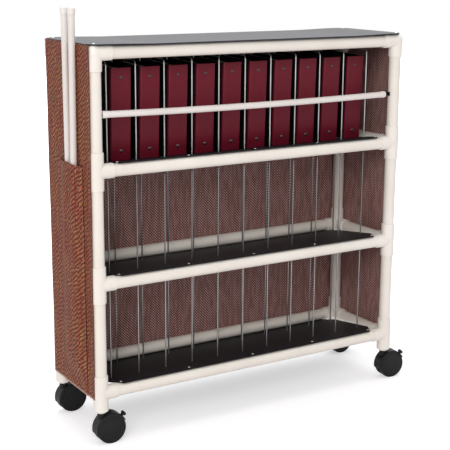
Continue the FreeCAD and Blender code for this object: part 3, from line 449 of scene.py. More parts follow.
# ---------------------------------------------------------------- woven mesh cover
# One length of vinyl-coated mesh runs round the left end, the back and the right end of the
# frame. Its yarns are dyed in broken bands of rust, gold, olive and red, and mauve inside.
CLOTH = 0.0016
CLOTH_GLOSS = 0.62
YARN = 0.0043
PICK = 0.0037
INNER_YARN = 0.0054
INNER_PICK = 0.0052
TWILL = 4.0
PLAIN = 2.0
BREAK_YARNS = 3.0
BREAK_PICKS = 7.0
BAND_ACROSS = 0.42
BAND_ALONG = 5.0
YARN_ROUND = 0.6
GAP_DEPTH = 1.6
WARP_LOW, WARP_RISE = 0.45, 0.55
WEFT_LOW, WEFT_RISE = 0.2, 0.45


def pair(tree, x, y):
    """A vector of two numbers."""
    return add(tree, "CombineXYZ", X=x, Y=y).outputs[0]


def speckle(tree, x, y):
    """A random value from 0 to 1 for each pair of x and y."""
    node = add(tree, "TexWhiteNoise")
    node.noise_dimensions = "2D"
    return feed(node, Vector=pair(tree, x, y)).outputs["Value"]


def hump(tree, value):
    """A hump between whole numbers: 0 at each of them and 1 half way."""
    return maths(tree, "ABSOLUTE", maths(tree, "SINE", maths(tree, "MULTIPLY", value, math.pi)))


def make_weave():
    """Flat yarns from a UV map in metres, as a broken twill or a plain weave: their height, the
    gaps between them, whether an upright yarn is on top, and the dye of the upright ones."""
    group, entry, leave = new_group(
        "mesh_weave",
        [("UV", "NodeSocketVector", None), ("Yarn", "NodeSocketFloat", YARN),
         ("Pick", "NodeSocketFloat", PICK), ("Repeat", "NodeSocketFloat", TWILL)],
        ["Height", "Gap", "Upright", "Dye", "Fleck"],
    )
    repeat = entry.outputs["Repeat"]
    spot = add(group, "SeparateXYZ", Vector=entry.outputs["UV"]).outputs
    column = maths(group, "DIVIDE", spot["X"], entry.outputs["Yarn"])
    row = maths(group, "DIVIDE", spot["Y"], entry.outputs["Pick"])
    column_at = maths(group, "FLOOR", column)
    row_at = maths(group, "FLOOR", row)
    broken = speckle(group, maths(group, "FLOOR", maths(group, "DIVIDE", column_at, BREAK_YARNS)),
                     maths(group, "FLOOR", maths(group, "DIVIDE", row_at, BREAK_PICKS)))
    room = maths(group, "MULTIPLY_ADD", repeat, 1.5, -3.0)
    shift = maths(group, "FLOOR", maths(group, "MULTIPLY", broken, room))
    offset = maths(group, "ADD", maths(group, "ADD", column_at, row_at), shift)
    twill = maths(group, "FLOORED_MODULO", offset, repeat)
    over = maths(group, "LESS_THAN", twill, maths(group, "MULTIPLY_ADD", repeat, 0.5, -0.5))
    across = hump(group, column)
    along = hump(group, row)
    warp = maths(group, "MULTIPLY", maths(group, "POWER", across, YARN_ROUND),
                 maths(group, "MULTIPLY_ADD", along, WARP_RISE, WARP_LOW))
    weft = maths(group, "MULTIPLY", maths(group, "POWER", along, YARN_ROUND),
                 maths(group, "MULTIPLY_ADD", across, WEFT_RISE, WEFT_LOW))
    height = add(group, "Mix")
    for index, value in ((0, over), (2, weft), (3, warp)):
        link(group, value, height.inputs[index])
    height = height.outputs[0]
    gap = maths(group, "SUBTRACT", 1.0, maths(group, "MULTIPLY", height, GAP_DEPTH), clamp=True)
    bands = pair(group, maths(group, "MULTIPLY", column_at, BAND_ACROSS),
                 maths(group, "MULTIPLY", spot["Y"], BAND_ALONG))
    dye = rescaled(group, cloud(group, bands, 1.0, 1.0), 0.25, 0.75, 0.18, 0.86)
    fleck = speckle(group, column_at, row_at)
    feed(leave, Height=height, Gap=gap, Upright=over, Dye=dye, Fleck=fleck)
    return group


weave = make_weave()


def mesh_cloth(name, dyes, weft_colour, gap_shade_colour, repeat, yarn, pick):
    """The woven mesh in one set of dyes; dyes are (place on the ramp, colour) rows."""
    material, tree, face = new_material(name)
    uv = add(tree, "UVMap")
    uv.uv_map = "cut"
    yarns = add_group(tree, weave, UV=uv.outputs["UV"], Repeat=repeat, Yarn=yarn, Pick=pick).outputs
    ramp = add(tree, "ValToRGB", Fac=yarns["Dye"])
    stops = ramp.color_ramp.elements
    for place, dye in dyes:
        stops.new(place).color = (*dye, 1.0)
    stops.remove(stops[-1])
    stops.remove(stops[0])
    lively = mixed(tree, rescaled(tree, yarns["Fleck"], 0.0, 1.0, 0.0, 0.25),
                   ramp.outputs["Color"], (*dyes[-1][1], 1.0))
    woven = mixed(tree, yarns["Upright"], (*weft_colour, 1.0), lively)
    # Painted shade: the colour darkens toward a near-black in the gaps between the yarns.
    gap_shade_share = maths(tree, "MULTIPLY", yarns["Gap"], 0.8)
    feed(face, Base_Color=mixed(tree, gap_shade_share, woven, (*gap_shade_colour, 1.0)),
         Roughness=rescaled(tree, yarns["Gap"], 0.0, 1.0, CLOTH_GLOSS - 0.08, CLOTH_GLOSS + 0.3),
         Specular_IOR_Level=0.15)
    add_relief(tree, face, yarns["Height"], 0.7, 0.0009)
    return material


# In each mesh the last colour given is the painted shade in the gaps between the yarns.
rust_mesh = mesh_cloth(
    "woven_mesh_rust_side",
    [(0.26, (0.29, 0.03, 0.024)), (0.38, (0.33, 0.095, 0.058)), (0.46, (0.47, 0.235, 0.09)),
     (0.53, (0.34, 0.085, 0.055)), (0.61, (0.22, 0.15, 0.06)), (0.69, (0.30, 0.10, 0.095)),
     (0.78, (0.36, 0.115, 0.06))],
    (0.155, 0.040, 0.027), (0.035, 0.010, 0.008), TWILL, YARN, PICK,
)
mauve_mesh = mesh_cloth(
    "woven_mesh_inner_side",
    [(0.28, (0.48, 0.22, 0.20)), (0.40, (0.74, 0.45, 0.42)), (0.48, (0.58, 0.29, 0.25)),
     (0.56, (0.40, 0.22, 0.18)), (0.66, (0.70, 0.41, 0.40)), (0.78, (0.64, 0.37, 0.33))],
    (0.15, 0.072, 0.067), (0.040, 0.022, 0.022), PLAIN, INNER_YARN, INNER_PICK,
)


def cloth_mesh(name, place, columns, rows, cut):
    """A cloth of two faces from place(u, v), which gives a point and its outward normal for a
    spot of the cut in metres. Faces of material 0 are outside and of material 1 inside."""
    bm = bmesh.new()
    map_layer = bm.loops.layers.uv.new("cut")
    width, length = cut
    grids = []
    for depth in (0.0, CLOTH):
        grid = []
        for row in range(rows + 1):
            line = []
            for column in range(columns + 1):
                u, v = width * column / columns, length * row / rows
                point, out = place(u, v)
                line.append((bm.verts.new(point - out * depth), (u, v)))
            grid.append(line)
        grids.append(grid)

    def face(corners, material=0):
        made = bm.faces.new([corner[0] for corner in corners])
        made.material_index = material
        for loop, corner in zip(made.loops, corners):
            loop[map_layer].uv = corner[1]

    outer, inner = grids
    for row in range(rows):
        for column in range(columns):
            face((outer[row][column], outer[row][column + 1],
                  outer[row + 1][column + 1], outer[row + 1][column]))
            face((inner[row][column], inner[row + 1][column],
                  inner[row + 1][column + 1], inner[row][column + 1]), 1)
    for column in range(columns):
        face((outer[0][column], inner[0][column], inner[0][column + 1], outer[0][column + 1]))
        face((outer[rows][column + 1], inner[rows][column + 1],
              inner[rows][column], outer[rows][column]))
    for row in range(rows):
        face((outer[row + 1][0], inner[row + 1][0], inner[row][0], outer[row][0]))
        face((outer[row][columns], inner[row][columns],
              inner[row + 1][columns], outer[row + 1][columns]))
    return finish_mesh(bm, name, 0.9)


left_low, left_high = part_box("left_cover")
right_low, right_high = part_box("right_cover")
back_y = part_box("back_cover")[1].y
COVER_BOTTOM, COVER_TOP = left_low.z, left_high.z
COVER_COLUMNS = 200
COVER_ROWS = 96
COVER_BEND = 0.026
COVER_SLACK = 0.0012
SLACK_REACH = 0.18
SLACK_WAVES = (2.3, 3.1)
FRONT_EDGE_FOOT = 0.008
FRONT_EDGE_LEAN = 0.012
RAIL_LINES = [0.1765, 0.5455, 0.9145, 1.2835]
bend_y = back_y - COVER_BEND
left_run = bend_y - left_low.y
right_run = bend_y - right_low.y
bend_run = math.pi / 2 * COVER_BEND
back_run = (right_high.x - left_low.x) - 2 * COVER_BEND
COVER_CUT = (left_run + right_run + 2 * bend_run + back_run, COVER_TOP - COVER_BOTTOM)


def cover_slack(u, v):
    """How far the cloth falls in between the fittings that hold it out, in metres."""
    z = v + COVER_BOTTOM
    near = min(abs(z - line) for line in RAIL_LINES)
    between_rails = min(near / SLACK_REACH, 1.0)
    ripple = noise.noise(Vector((u * SLACK_WAVES[0], v * SLACK_WAVES[1], 4.0)))
    return min(COVER_SLACK * between_rails * (0.6 + 0.8 * ripple), COVER_SLACK)


def left_front(v):
    """The left front edge runs a little out of upright: ahead at the top, back at the foot."""
    return left_low.y + FRONT_EDGE_FOOT - FRONT_EDGE_LEAN * v / COVER_CUT[1]


def cover_place(u, v):
    """The outer face of the cover, from the left front hem round the back to the right."""
    z = v + COVER_BOTTOM
    corner_left = Vector((left_low.x + COVER_BEND, bend_y, z))
    corner_right = Vector((right_high.x - COVER_BEND, bend_y, z))
    if u <= left_run:
        front_y = left_front(v)
        y = front_y + (corner_left.y - front_y) * u / left_run
        point, out = Vector((left_low.x, y, z)), Vector((-1, 0, 0))
    elif u <= left_run + bend_run:
        turn_by = (u - left_run) / COVER_BEND
        out = Vector((-math.cos(turn_by), math.sin(turn_by), 0))
        point = corner_left + out * COVER_BEND
    elif u <= left_run + bend_run + back_run:
        point = Vector((corner_left.x + u - left_run - bend_run, back_y, z))
        out = Vector((0, 1, 0))
    elif u <= left_run + 2 * bend_run + back_run:
        turn_by = (u - left_run - bend_run - back_run) / COVER_BEND
        out = Vector((math.sin(turn_by), math.cos(turn_by), 0))
        point = corner_right + out * COVER_BEND
    else:
        back_by = u - left_run - 2 * bend_run - back_run
        point = Vector((right_high.x, bend_y - back_by, z))
        out = Vector((1, 0, 0))
    return point - out * cover_slack(u, v), out


cover_mesh = cloth_mesh("mesh_cover", cover_place, COVER_COLUMNS, COVER_ROWS, COVER_CUT)
cover = new_piece("mesh_cover", cover_mesh, "frame", "woven_mesh", rust_mesh, mauve_mesh)
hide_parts("left_cover", "back_cover", "right_cover")

# ---------------------------------------------------------------- hems of the cover
# The lower edge is bound with a thin pale tape that is folded over it and sewn through. The
# other edges are turned in and held by two rows of stitches.
TAPE = 0.0004
TAPE_WIDTH = 0.0055
TAPE_STEPS = 160
TAPE_ROUND = 0.4
TAPE_THIN = 0.9
STITCH_PITCH = 0.0046
STITCH_LONG = 0.0031
STITCH_WIDE = 0.0007
STITCH_RISE = 0.8
STITCH_TOP = 0.3
HEM_SEAMS = (0.0035, 0.020)
HEM_SEAM_END = 0.004
SIDE_SEAMS = (0.0035, 0.018)
SIDE_SEAM_END = 0.024
UP = Vector((0, 0, 1))
tape_cloth = moulded("hem_tape", (0.36, 0.215, 0.18), (0.44, 0.28, 0.24), 0.75, 0.08, 60.0, 900.0,
                     bump=0.6)
thread = moulded("sewing_thread", (0.30, 0.16, 0.12), (0.40, 0.24, 0.19), 0.7, 0.08, 200.0, 900.0)


def hem_tape(name, place, width, steps):
    """A tape folded over the lower edge of the cloth whose outer face place(u, v) gives."""
    bm = bmesh.new()
    rings = []
    for step in range(steps + 1):
        point, out = place(width * step / steps, 0.0)
        front = point + out * TAPE
        back = point - out * (CLOTH + TAPE)
        edge = UP * -TAPE
        rings.append([bm.verts.new(at) for at in (
            front + UP * TAPE_WIDTH, front + edge * TAPE_ROUND, front - out * TAPE + edge,
            back + out * TAPE + edge, back + edge * TAPE_ROUND, back + UP * TAPE_WIDTH,
            back + out * TAPE * TAPE_THIN + UP * TAPE_WIDTH,
            front - out * TAPE * TAPE_THIN + UP * TAPE_WIDTH,
        )])
    skin(bm, rings)
    return new_piece(name, finish_mesh(bm, name, 0.8), "frame", "woven_mesh", tape_cloth)


def stitch(bm, start, end, out):
    """One raised stitch between two points that lie on the cloth."""
    along = (end - start).normalized()
    across = along.cross(out) * STITCH_WIDE / 2
    middle = (start + end) / 2 + out * STITCH_WIDE * STITCH_RISE
    low = [bm.verts.new(start), bm.verts.new(end)]
    reach = (end - start) * STITCH_TOP
    left = [bm.verts.new(middle + across + by) for by in (-reach, reach)]
    right = [bm.verts.new(middle - across + by) for by in (-reach, reach)]
    bm.faces.new((left[0], left[1], right[1], right[0]))
    bm.faces.new((low[0], left[0], right[0]))
    bm.faces.new((low[1], right[1], left[1]))
    bm.faces.new((low[0], low[1], left[1], left[0]))
    bm.faces.new((low[0], right[0], right[1], low[1]))


def seams(name, place, rows):
    """Rows of stitches on a cloth, each from one spot (u, v) of its cut to another."""
    bm = bmesh.new()
    for start, end in rows:
        run = math.hypot(end[0] - start[0], end[1] - start[1])
        for index in range(int(run / STITCH_PITCH)):
            ends = []
            for along in (index * STITCH_PITCH, index * STITCH_PITCH + STITCH_LONG):
                share = along / run
                ends.append(place(start[0] + (end[0] - start[0]) * share,
                                  start[1] + (end[1] - start[1]) * share))
            stitch(bm, ends[0][0], ends[1][0], ends[0][1])
    mesh = finish_mesh(bm, name, outward=False)
    return new_piece(name, mesh, "frame", "woven_mesh", thread)


cover_wide, cover_tall = COVER_CUT
cover_tape = hem_tape("cover_hem_tape", cover_place, cover_wide, TAPE_STEPS)
cover_seams = []
for lift in HEM_SEAMS:
    for v in (lift, cover_tall - lift):
        cover_seams.append(((HEM_SEAM_END, v), (cover_wide - HEM_SEAM_END, v)))
for u in (*SIDE_SEAMS, *(cover_wide - inset for inset in SIDE_SEAMS)):
    cover_seams.append(((u, SIDE_SEAM_END), (u, cover_tall - SIDE_SEAM_END)))
cover_stitches = seams("cover_stitches", cover_place, cover_seams)

# ---------------------------------------------------------------- side pocket
# A patch of the same mesh sewn to the left end down both sides and across below the bars. The
# two spare bars hold it out, so it stands off at the front and slopes back to its rear seam.
POCKET_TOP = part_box("side_pocket")[1].z
POCKET_FLOOR = 0.293
POCKET_FRONT = 0.042 - POST_Y
POCKET_REAR = 0.218 - POST_Y
POCKET_FACE = 0.0252
POCKET_FADE = 0.115
POCKET_RIPPLE = 0.0006
POCKET_WAVES = (30, 6)
FLOOR_LEEWAY = 0.002
POCKET_SIDE_SEAM = 0.003
MOUTH_SEAMS = (0.0035, 0.016)
FLOOR_SEAMS = (0.014, 0.020)
POCKET_SEAM_END = 0.006
FLOOR_SEAM_END = 0.004
FLANK_END = 0.076 - POST_Y
FLAT_END = 0.137 - POST_Y
MOUTH_DIP = 0.004
MOUTH_RISE = 0.006
MOUTH_REACH = 0.06
BARS_AT, BARS_SPREAD = 0.4, 0.2
CORNER_SPREAD = 0.15
POCKET_ROWS = 110
POCKET_COLUMNS = 48
FINE_STEPS = 240


def pocket_depth(y, z):
    """How far the inner face of the pocket stands off the cover."""
    if y < FLANK_END:
        share = math.sin(math.pi / 2 * (y - POCKET_FRONT) / (FLANK_END - POCKET_FRONT))
    elif y < FLAT_END:
        share = 1.0
    else:
        share = 1.0 - (y - FLAT_END) / (POCKET_REAR - FLAT_END)
    below = (POCKET_FLOOR - FLOOR_LEEWAY - z) / POCKET_FADE
    closed = min(max(1.0 - below, 0.0), 1.0)
    closed = closed * closed * (3 - 2 * closed)
    return POCKET_FACE * max(share, 0.0) * closed


def pocket_line(z):
    """Evenly spaced points across the pocket at one height, and the length across."""
    fine = []
    for step in range(FINE_STEPS + 1):
        y = POCKET_FRONT + (POCKET_REAR - POCKET_FRONT) * step / FINE_STEPS
        ripple = POCKET_RIPPLE * noise.noise(Vector((y * POCKET_WAVES[0], z * POCKET_WAVES[1], 1.0)))
        fine.append(Vector((left_low.x - CLOTH - pocket_depth(y, z) - max(ripple, 0), y, z)))
    lengths = [0.0]
    for first, second in zip(fine, fine[1:]):
        lengths.append(lengths[-1] + (second - first).length)
    points = []
    step = 0
    for column in range(POCKET_COLUMNS + 1):
        goal = lengths[-1] * column / POCKET_COLUMNS
        while step < FINE_STEPS - 1 and lengths[step + 1] < goal:
            step += 1
        share = (goal - lengths[step]) / (lengths[step + 1] - lengths[step])
        points.append(fine[step].lerp(fine[step + 1], min(max(share, 0.0), 1.0)))
    return points, lengths[-1]


def mouth_dip(share):
    """The mouth stands up over the bars and hangs a little lower at its front corner."""
    over_bars = math.exp(-((share - BARS_AT) / BARS_SPREAD) ** 2)
    at_front = max(0.0, 1.0 - share / CORNER_SPREAD)
    return MOUTH_DIP * at_front - MOUTH_RISE * over_bars


pocket_height = POCKET_TOP - COVER_BOTTOM
pocket_rows = []
pocket_spans = []
for row in range(POCKET_ROWS + 1):
    line, span = pocket_line(COVER_BOTTOM + pocket_height * row / POCKET_ROWS)
    pocket_rows.append(line)
    pocket_spans.append(span)
POCKET_CUT = (max(pocket_spans), pocket_height)


def pocket_place(u, v):
    """The outer face of the pocket at a spot of its cut."""
    column = min(max(u / POCKET_CUT[0], 0.0), 1.0) * POCKET_COLUMNS
    row = min(max(v / POCKET_CUT[1], 0.0), 1.0) * POCKET_ROWS
    left = min(int(column), POCKET_COLUMNS - 1)
    below = min(int(row), POCKET_ROWS - 1)
    low, high = pocket_rows[below], pocket_rows[below + 1]
    on_low = low[left].lerp(low[left + 1], column - left)
    on_high = high[left].lerp(high[left + 1], column - left)
    point = on_low.lerp(on_high, row - below)
    out = UP.cross(low[left + 1] - low[left]).normalized()
    top_share = max(0.0, (v - POCKET_CUT[1] + MOUTH_REACH) / MOUTH_REACH)
    point.z -= mouth_dip(column / POCKET_COLUMNS) * top_share
    return point, out


pocket_mesh = cloth_mesh("bar_pocket", pocket_place, POCKET_COLUMNS, POCKET_ROWS, POCKET_CUT)
pocket = new_piece("bar_pocket", pocket_mesh, "frame", "woven_mesh", rust_mesh, mauve_mesh)
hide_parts("side_pocket")

pocket_wide, pocket_tall = POCKET_CUT
pocket_tape = hem_tape("pocket_tape", pocket_place, pocket_wide, POCKET_COLUMNS)
pocket_seams = []
for u in (POCKET_SIDE_SEAM, pocket_wide - POCKET_SIDE_SEAM):
    pocket_seams.append(((u, POCKET_SEAM_END), (u, pocket_tall - POCKET_SEAM_END)))
for drop in MOUTH_SEAMS:
    v = pocket_tall - drop
    pocket_seams.append(((POCKET_SEAM_END, v), (pocket_wide - POCKET_SEAM_END, v)))
for drop in FLOOR_SEAMS:
    v = POCKET_FLOOR - COVER_BOTTOM - drop
    pocket_seams.append(((FLOOR_SEAM_END, v), (pocket_wide - FLOOR_SEAM_END, v)))
pocket_stitches = seams("pocket_stitches", pocket_place, pocket_seams)

# ---------------------------------------------------------------- retaining bars
# The bars are thin PVC tube with moulded end caps. The front bar lies across the binders and
# has set a little in its middle; two more bars stand in the pocket.
BAR_RADIUS = 0.01065
CAP_RADIUS = 0.0116
CAP_LONG = 0.020
BAR_SAG = 0.006
BAR_MORE_LEFT = 0.0028
BAR_LESS_RIGHT = 0.003
BAR_STEPS = 60
BAR_SIDES = 40
bar_plastic = moulded("bar_pvc", (0.73, 0.67, 0.63), (0.79, 0.73, 0.695), 0.38)
cap_plastic = moulded("bar_cap_pvc", (0.76, 0.70, 0.66), (0.81, 0.76, 0.72), 0.45)
for bar in ("stored_bar_1", "stored_bar_2"):
    finish_node(bar, bar_plastic)
    finish_node(f"{bar}_caps", cap_plastic)


def lathe(bm, profile, centre, axis, sides, materials=(0,)):
    """Turn (radius, height) rows about an axis through centre; materials gives an index for
    each step, or one for all."""
    axis = axis.normalized()
    side = axis.orthogonal().normalized()
    across = axis.cross(side)
    rings = []
    for radius, height in profile:
        if radius < 1e-6:
            rings.append([bm.verts.new(centre + axis * height)])
        else:
            ring = circle(centre, side, across, radius, sides)
            rings.append([bm.verts.new(spot + axis * height) for spot in ring])
    for index, (first, second) in enumerate(zip(rings, rings[1:])):
        for step in range(sides):
            after = (step + 1) % sides
            corners = [first[step % len(first)], first[after % len(first)],
                       second[after % len(second)], second[step % len(second)]]
            unique = [corner for spot, corner in enumerate(corners) if corner not in corners[:spot]]
            face = bm.faces.new(unique)
            face.material_index = materials[min(index, len(materials) - 1)]


low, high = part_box("retaining_bar_caps")
bar_start = low.x - BAR_MORE_LEFT
bar_long = high.x - BAR_LESS_RIGHT - bar_start
bar_foot = Vector((bar_start, (low.y + high.y) / 2, (low.z + high.z) / 2))
cap_rows = [
    (0.0, 0.0), (0.0098, 0.0), (0.0112, 0.0006), (CAP_RADIUS, 0.0020),
    (CAP_RADIUS, CAP_LONG - 0.0008), (CAP_RADIUS - 0.0006, CAP_LONG), (BAR_RADIUS, CAP_LONG),
]
tube_rows = [(BAR_RADIUS, bar_long * step / BAR_STEPS) for step in range(2, BAR_STEPS - 1)]
bar_rows = cap_rows + tube_rows + [(radius, bar_long - at) for radius, at in reversed(cap_rows)]
cap_steps = [1] * (len(cap_rows) - 1)
bar_parts = cap_steps + [0] * (len(tube_rows) + 1) + cap_steps
bm = bmesh.new()
lathe(bm, bar_rows, bar_foot, Vector((1, 0, 0)), BAR_SIDES, bar_parts)
for vert in bm.verts:
    from_middle = 2 * (vert.co.x - bar_start) / bar_long - 1
    vert.co.z -= BAR_SAG * (1 - from_middle * from_middle)
front_bar_mesh = finish_mesh(bm, "set_retaining_bar", 0.5)
front_bar = new_piece("set_retaining_bar", front_bar_mesh, "retaining_bar", "bar_pvc",
                      bar_plastic, cap_plastic)
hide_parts("retaining_bar", "retaining_bar_caps")

# ---------------------------------------------------------------- bar clips
# Black sprung clips on the inner faces of the front posts hold the ends of the front bar. Each
# is a pair of jaws open to the front, on a narrow spine that runs back to a saddle on the post.
# Their black is a painted shadow for the dark gap between each end of the bar and its post.
POST_X = 0.595
POST_RADIUS = 0.0211
CLIP_LONG = 0.020
JAW_START = 0.006
SPINE_LONG = 0.012
SADDLE_TALL = 0.014
SADDLE_GAP, SADDLE_RISE = 0.0001, 0.0020
CLIP_STANDOFF = 0.0018
PLATE_THICK = 0.0010
JAW_BAND = (0.0119, 0.0133, 1.75)
SPINE_BAND = (0.0121, 0.0131, 0.6)
PLATE_BAND = (0.0, 0.0130, 0.6)
SADDLE_REACH = 0.24
WELD = 1e-6
BACKWARD = Vector((0, 1, 0))
# Painted shadow: the clips' black stands for the shadow gap at the ends of the bar.
clip_black_painted_shadow = moulded("clip_painted_shadow_black", (0.008, 0.008, 0.008), (0.014, 0.014, 0.014), 0.5, bump=0.15,
                     sheen=0.2)


def prism(bm, outline, origin, across, up_by, along):
    """Push a closed outline of (across, up) points through the length of along."""
    near = [bm.verts.new(origin + across * a + up_by * b) for a, b in outline]
    skin(bm, [near, [bm.verts.new(vert.co + along) for vert in near]])


def arc_band(inner, outer, reach, steps=20):
    """The outline of a band between two radii, reach radians either side of the first axis."""
    turns = [reach * (2 * step / steps - 1) for step in range(steps + 1)]
    band = [(outer * math.cos(turn_by), outer * math.sin(turn_by)) for turn_by in turns]
    return band + [(inner * math.cos(turn_by), inner * math.sin(turn_by)) for turn_by in turns[::-1]]


jaws = arc_band(*JAW_BAND)
spine = arc_band(*SPINE_BAND)
plate = arc_band(*PLATE_BAND)
saddle = arc_band(POST_RADIUS + SADDLE_GAP, POST_RADIUS + SADDLE_RISE, SADDLE_REACH)
bm = bmesh.new()
for hand in (-1, 1):
    inwards = Vector((-hand, 0, 0))
    post = Vector((FRAME_X + hand * POST_X, -POST_Y, bar_foot.z))
    clip = post + inwards * (POST_RADIUS + CLIP_STANDOFF)
    prism(bm, jaws, clip + inwards * JAW_START, BACKWARD, UP, inwards * (CLIP_LONG - JAW_START))
    prism(bm, spine, clip, BACKWARD, UP, inwards * SPINE_LONG)
    prism(bm, saddle, post - UP * (SADDLE_TALL / 2), inwards, BACKWARD, UP * SADDLE_TALL)
    prism(bm, plate, clip, BACKWARD, UP, inwards * -PLATE_THICK)
bmesh.ops.remove_doubles(bm, verts=bm.verts[:], dist=WELD)
clip_mesh = finish_mesh(bm, "sprung_bar_clips", 0.5)
clips = new_piece("sprung_bar_clips", clip_mesh, "frame", "clip_plastic", clip_black_painted_shadow)
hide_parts("bar_clips")

# ---------------------------------------------------------------- casters
# Twin-wheel casters of black nylon: a hood and web in one moulding on a steel stem, two
# moulded wheels on a steel axle, and on the front pair a brake pedal through the hood.
WHEEL_RADIUS = 0.051
WHEEL_INNER = 0.0076
WHEEL_OUTER = 0.0218
WHEEL_BORE = 0.0043
WHEEL_SIDES = 72
WHEEL_PROFILE = [
    (WHEEL_BORE, WHEEL_INNER), (0.012, WHEEL_INNER), (0.0125, WHEEL_INNER + 0.0015),
    (0.043, WHEEL_INNER + 0.0015), (0.0435, WHEEL_INNER), (0.0485, WHEEL_INNER),
    (0.0500, WHEEL_INNER + 0.0006), (0.0507, WHEEL_INNER + 0.0018), (WHEEL_RADIUS, 0.0110),
    (WHEEL_RADIUS, 0.0182), (0.0507, WHEEL_OUTER - 0.0024), (0.0500, WHEEL_OUTER - 0.0010),
    (0.0487, WHEEL_OUTER - 0.0003), (0.0470, WHEEL_OUTER), (0.0445, WHEEL_OUTER),
    (0.0440, WHEEL_OUTER - 0.0010), (0.0432, WHEEL_OUTER - 0.0010), (0.0428, WHEEL_OUTER - 0.0001),
    (0.0380, WHEEL_OUTER + 0.0008), (0.0300, WHEEL_OUTER + 0.0016), (0.0180, WHEEL_OUTER + 0.0018),
    (0.0120, WHEEL_OUTER + 0.0018), (0.0117, WHEEL_OUTER + 0.0012), (0.0108, WHEEL_OUTER + 0.0012),
    (0.0105, WHEEL_OUTER + 0.0018), (0.0, WHEEL_OUTER + 0.0018),
]
TREAD_STEPS = range(5, 13)
WHEEL_PARTS = [1 if step in TREAD_STEPS else 0 for step in range(len(WHEEL_PROFILE))]
caster_nylon = moulded("black_caster_nylon", (0.006, 0.006, 0.007), (0.011, 0.011, 0.012), 0.42,
                       0.08, 20.0, 400.0, bump=0.2, sheen=0.22)
wheel_plastic = moulded("black_wheel", (0.007, 0.007, 0.008), (0.013, 0.013, 0.014), 0.38,
                        0.08, 18.0, 300.0, bump=0.15, sheen=0.22)
tread_rubber = moulded("wheel_tread", (0.010, 0.010, 0.011), (0.018, 0.018, 0.019), 0.55, 0.1, 25.0,
                       500.0, bump=0.35, sheen=0.25)
caster_steel = drawn_steel("caster_stem_steel", (0.45, 0.45, 0.46), (0.62, 0.62, 0.63), 0.3)
joint_of = {joint["child"]: joint for joint in frame["joints"]}

for corner in CORNERS:
    finish_node(f"{corner}_caster_housing", caster_nylon)
    finish_node(f"{corner}_caster_stem", caster_steel)
    for side in ("inner", "outer"):
        node = f"{corner}_caster_{side}_wheel"
        spin = joint_of[f"{corner}_{side}_wheel"]
        hub = Vector(spin["pos_m"])
        axle = Vector(spin["axis"])
        low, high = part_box(node)
        if axle.dot((low + high) / 2 - hub) < 0:
            axle = -axle
        bm = bmesh.new()
        lathe(bm, WHEEL_PROFILE, hub, axle, WHEEL_SIDES, WHEEL_PARTS)
        mesh = finish_mesh(bm, f"{node}_turned", 0.5)
        wheel = new_piece(f"{node}_turned", mesh, f"{corner}_{side}_wheel", "wheel_rubber",
                          wheel_plastic, tread_rubber)
        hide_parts(node)
for side in ("left", "right"):
    finish_node(f"front_{side}_brake_lever", caster_nylon)

# ---------------------------------------------------------------- ring binders
# Ten chart binders. Each is a vinyl cover over board, burgundy on the spine and near-black on
# the sides and ends, a painted shade for the shade between and above the binders, with two
# rivets that hold the ring plate, and a block of pages on three rings inside.
BINDERS = 10
BINDER_WIDE, BINDER_DEEP, BINDER_TALL = 0.072, 0.250, 0.300
BOARD = 0.003
SPINE_BEND = 0.006
SPINE_WRAP = 0.0115
# The hinge's groove from its back, and the rounded edge from its end, as (place, inset) rows.
HINGE = [(0.030, 0.0), (0.018, 0.0), (0.0165, 0.0008), (0.0125, 0.0008), (0.011, 0.0)]
EDGE_ROUND = [(0.0, 0.0009), (0.0004, 0.0003), (0.0012, 0.0)]
PAGES_WIDE, PAGES_DEEP, PAGES_TALL = 0.056, 0.216, 0.280
PAGE_SHEETS = 14
PAGE_SHARE = 0.94
PAGE_WANDER = 0.0016
PAGES_BACK, PAGES_FOOT = 0.014, 0.010
PAGES_SHORT, PAGES_LOW = 0.003, 0.002
RIVET_FROM_END = 0.031
RIVET_SIDES = 20
RIVET = [(0.0058, 0.0), (0.0058, 0.0004), (0.0052, 0.0011), (0.0036, 0.0016), (0.0018, 0.0017),
         (0.0014, 0.0012), (0.0, 0.0011)]
RING_HEIGHTS = (0.060, 0.150, 0.240)
RING_HALF, RING_RISE = 0.019, 0.026
RING_WIRE = 0.0016
RING_STEPS = 24
RING_SIDES = 8
RING_PLATE = (0.018, 0.003, 0.260)
spine_vinyl = moulded("burgundy_spine_vinyl", (0.108, 0.004, 0.012), (0.152, 0.007, 0.020), 0.42,
                      0.08, 9.0, 700.0, bump=0.3, sheen=0.22)
# Painted shade: a near-black vinyl on the sides and ends in place of the shaded burgundy.
side_vinyl_painted_shade = moulded("side_vinyl_black_painted_shade", (0.007, 0.005, 0.006), (0.012, 0.009, 0.010), 0.5,
                     0.08, 9.0, 700.0, bump=0.3, sheen=0.2)
page_paper = moulded("page_edges", (0.52, 0.50, 0.46), (0.70, 0.68, 0.64), 0.85, 0.05, 30.0, 900.0,
                     bump=0.5)
rivet_metal = drawn_steel("binder_rivet", (0.05, 0.045, 0.05), (0.12, 0.11, 0.12), 0.25)
SPINE_PART, SHADED_SIDE_PART, RIVET_PART, PAGE_PART, RING_PART = range(5)


def cover_outline():
    """The cover in plan: the outside from one fore edge to the other, and the inside back."""
    half = BINDER_WIDE / 2
    outside = [(-half, BINDER_DEEP)] + [(-half + inset, y) for y, inset in HINGE]
    for step in range(7):
        angle = math.pi / 2 * step / 6
        outside.append((-half + SPINE_BEND - SPINE_BEND * math.cos(angle),
                        SPINE_BEND - SPINE_BEND * math.sin(angle)))
    outside += [(-x, y) for x, y in reversed(outside)]
    inside = [(half - BOARD, BINDER_DEEP), (half - BOARD, HINGE[0][0]),
              (half - BOARD, BOARD + 0.001),
              (half - BOARD - 0.001, BOARD)]
    inside += [(-x, y) for x, y in reversed(inside)]
    return outside, inside


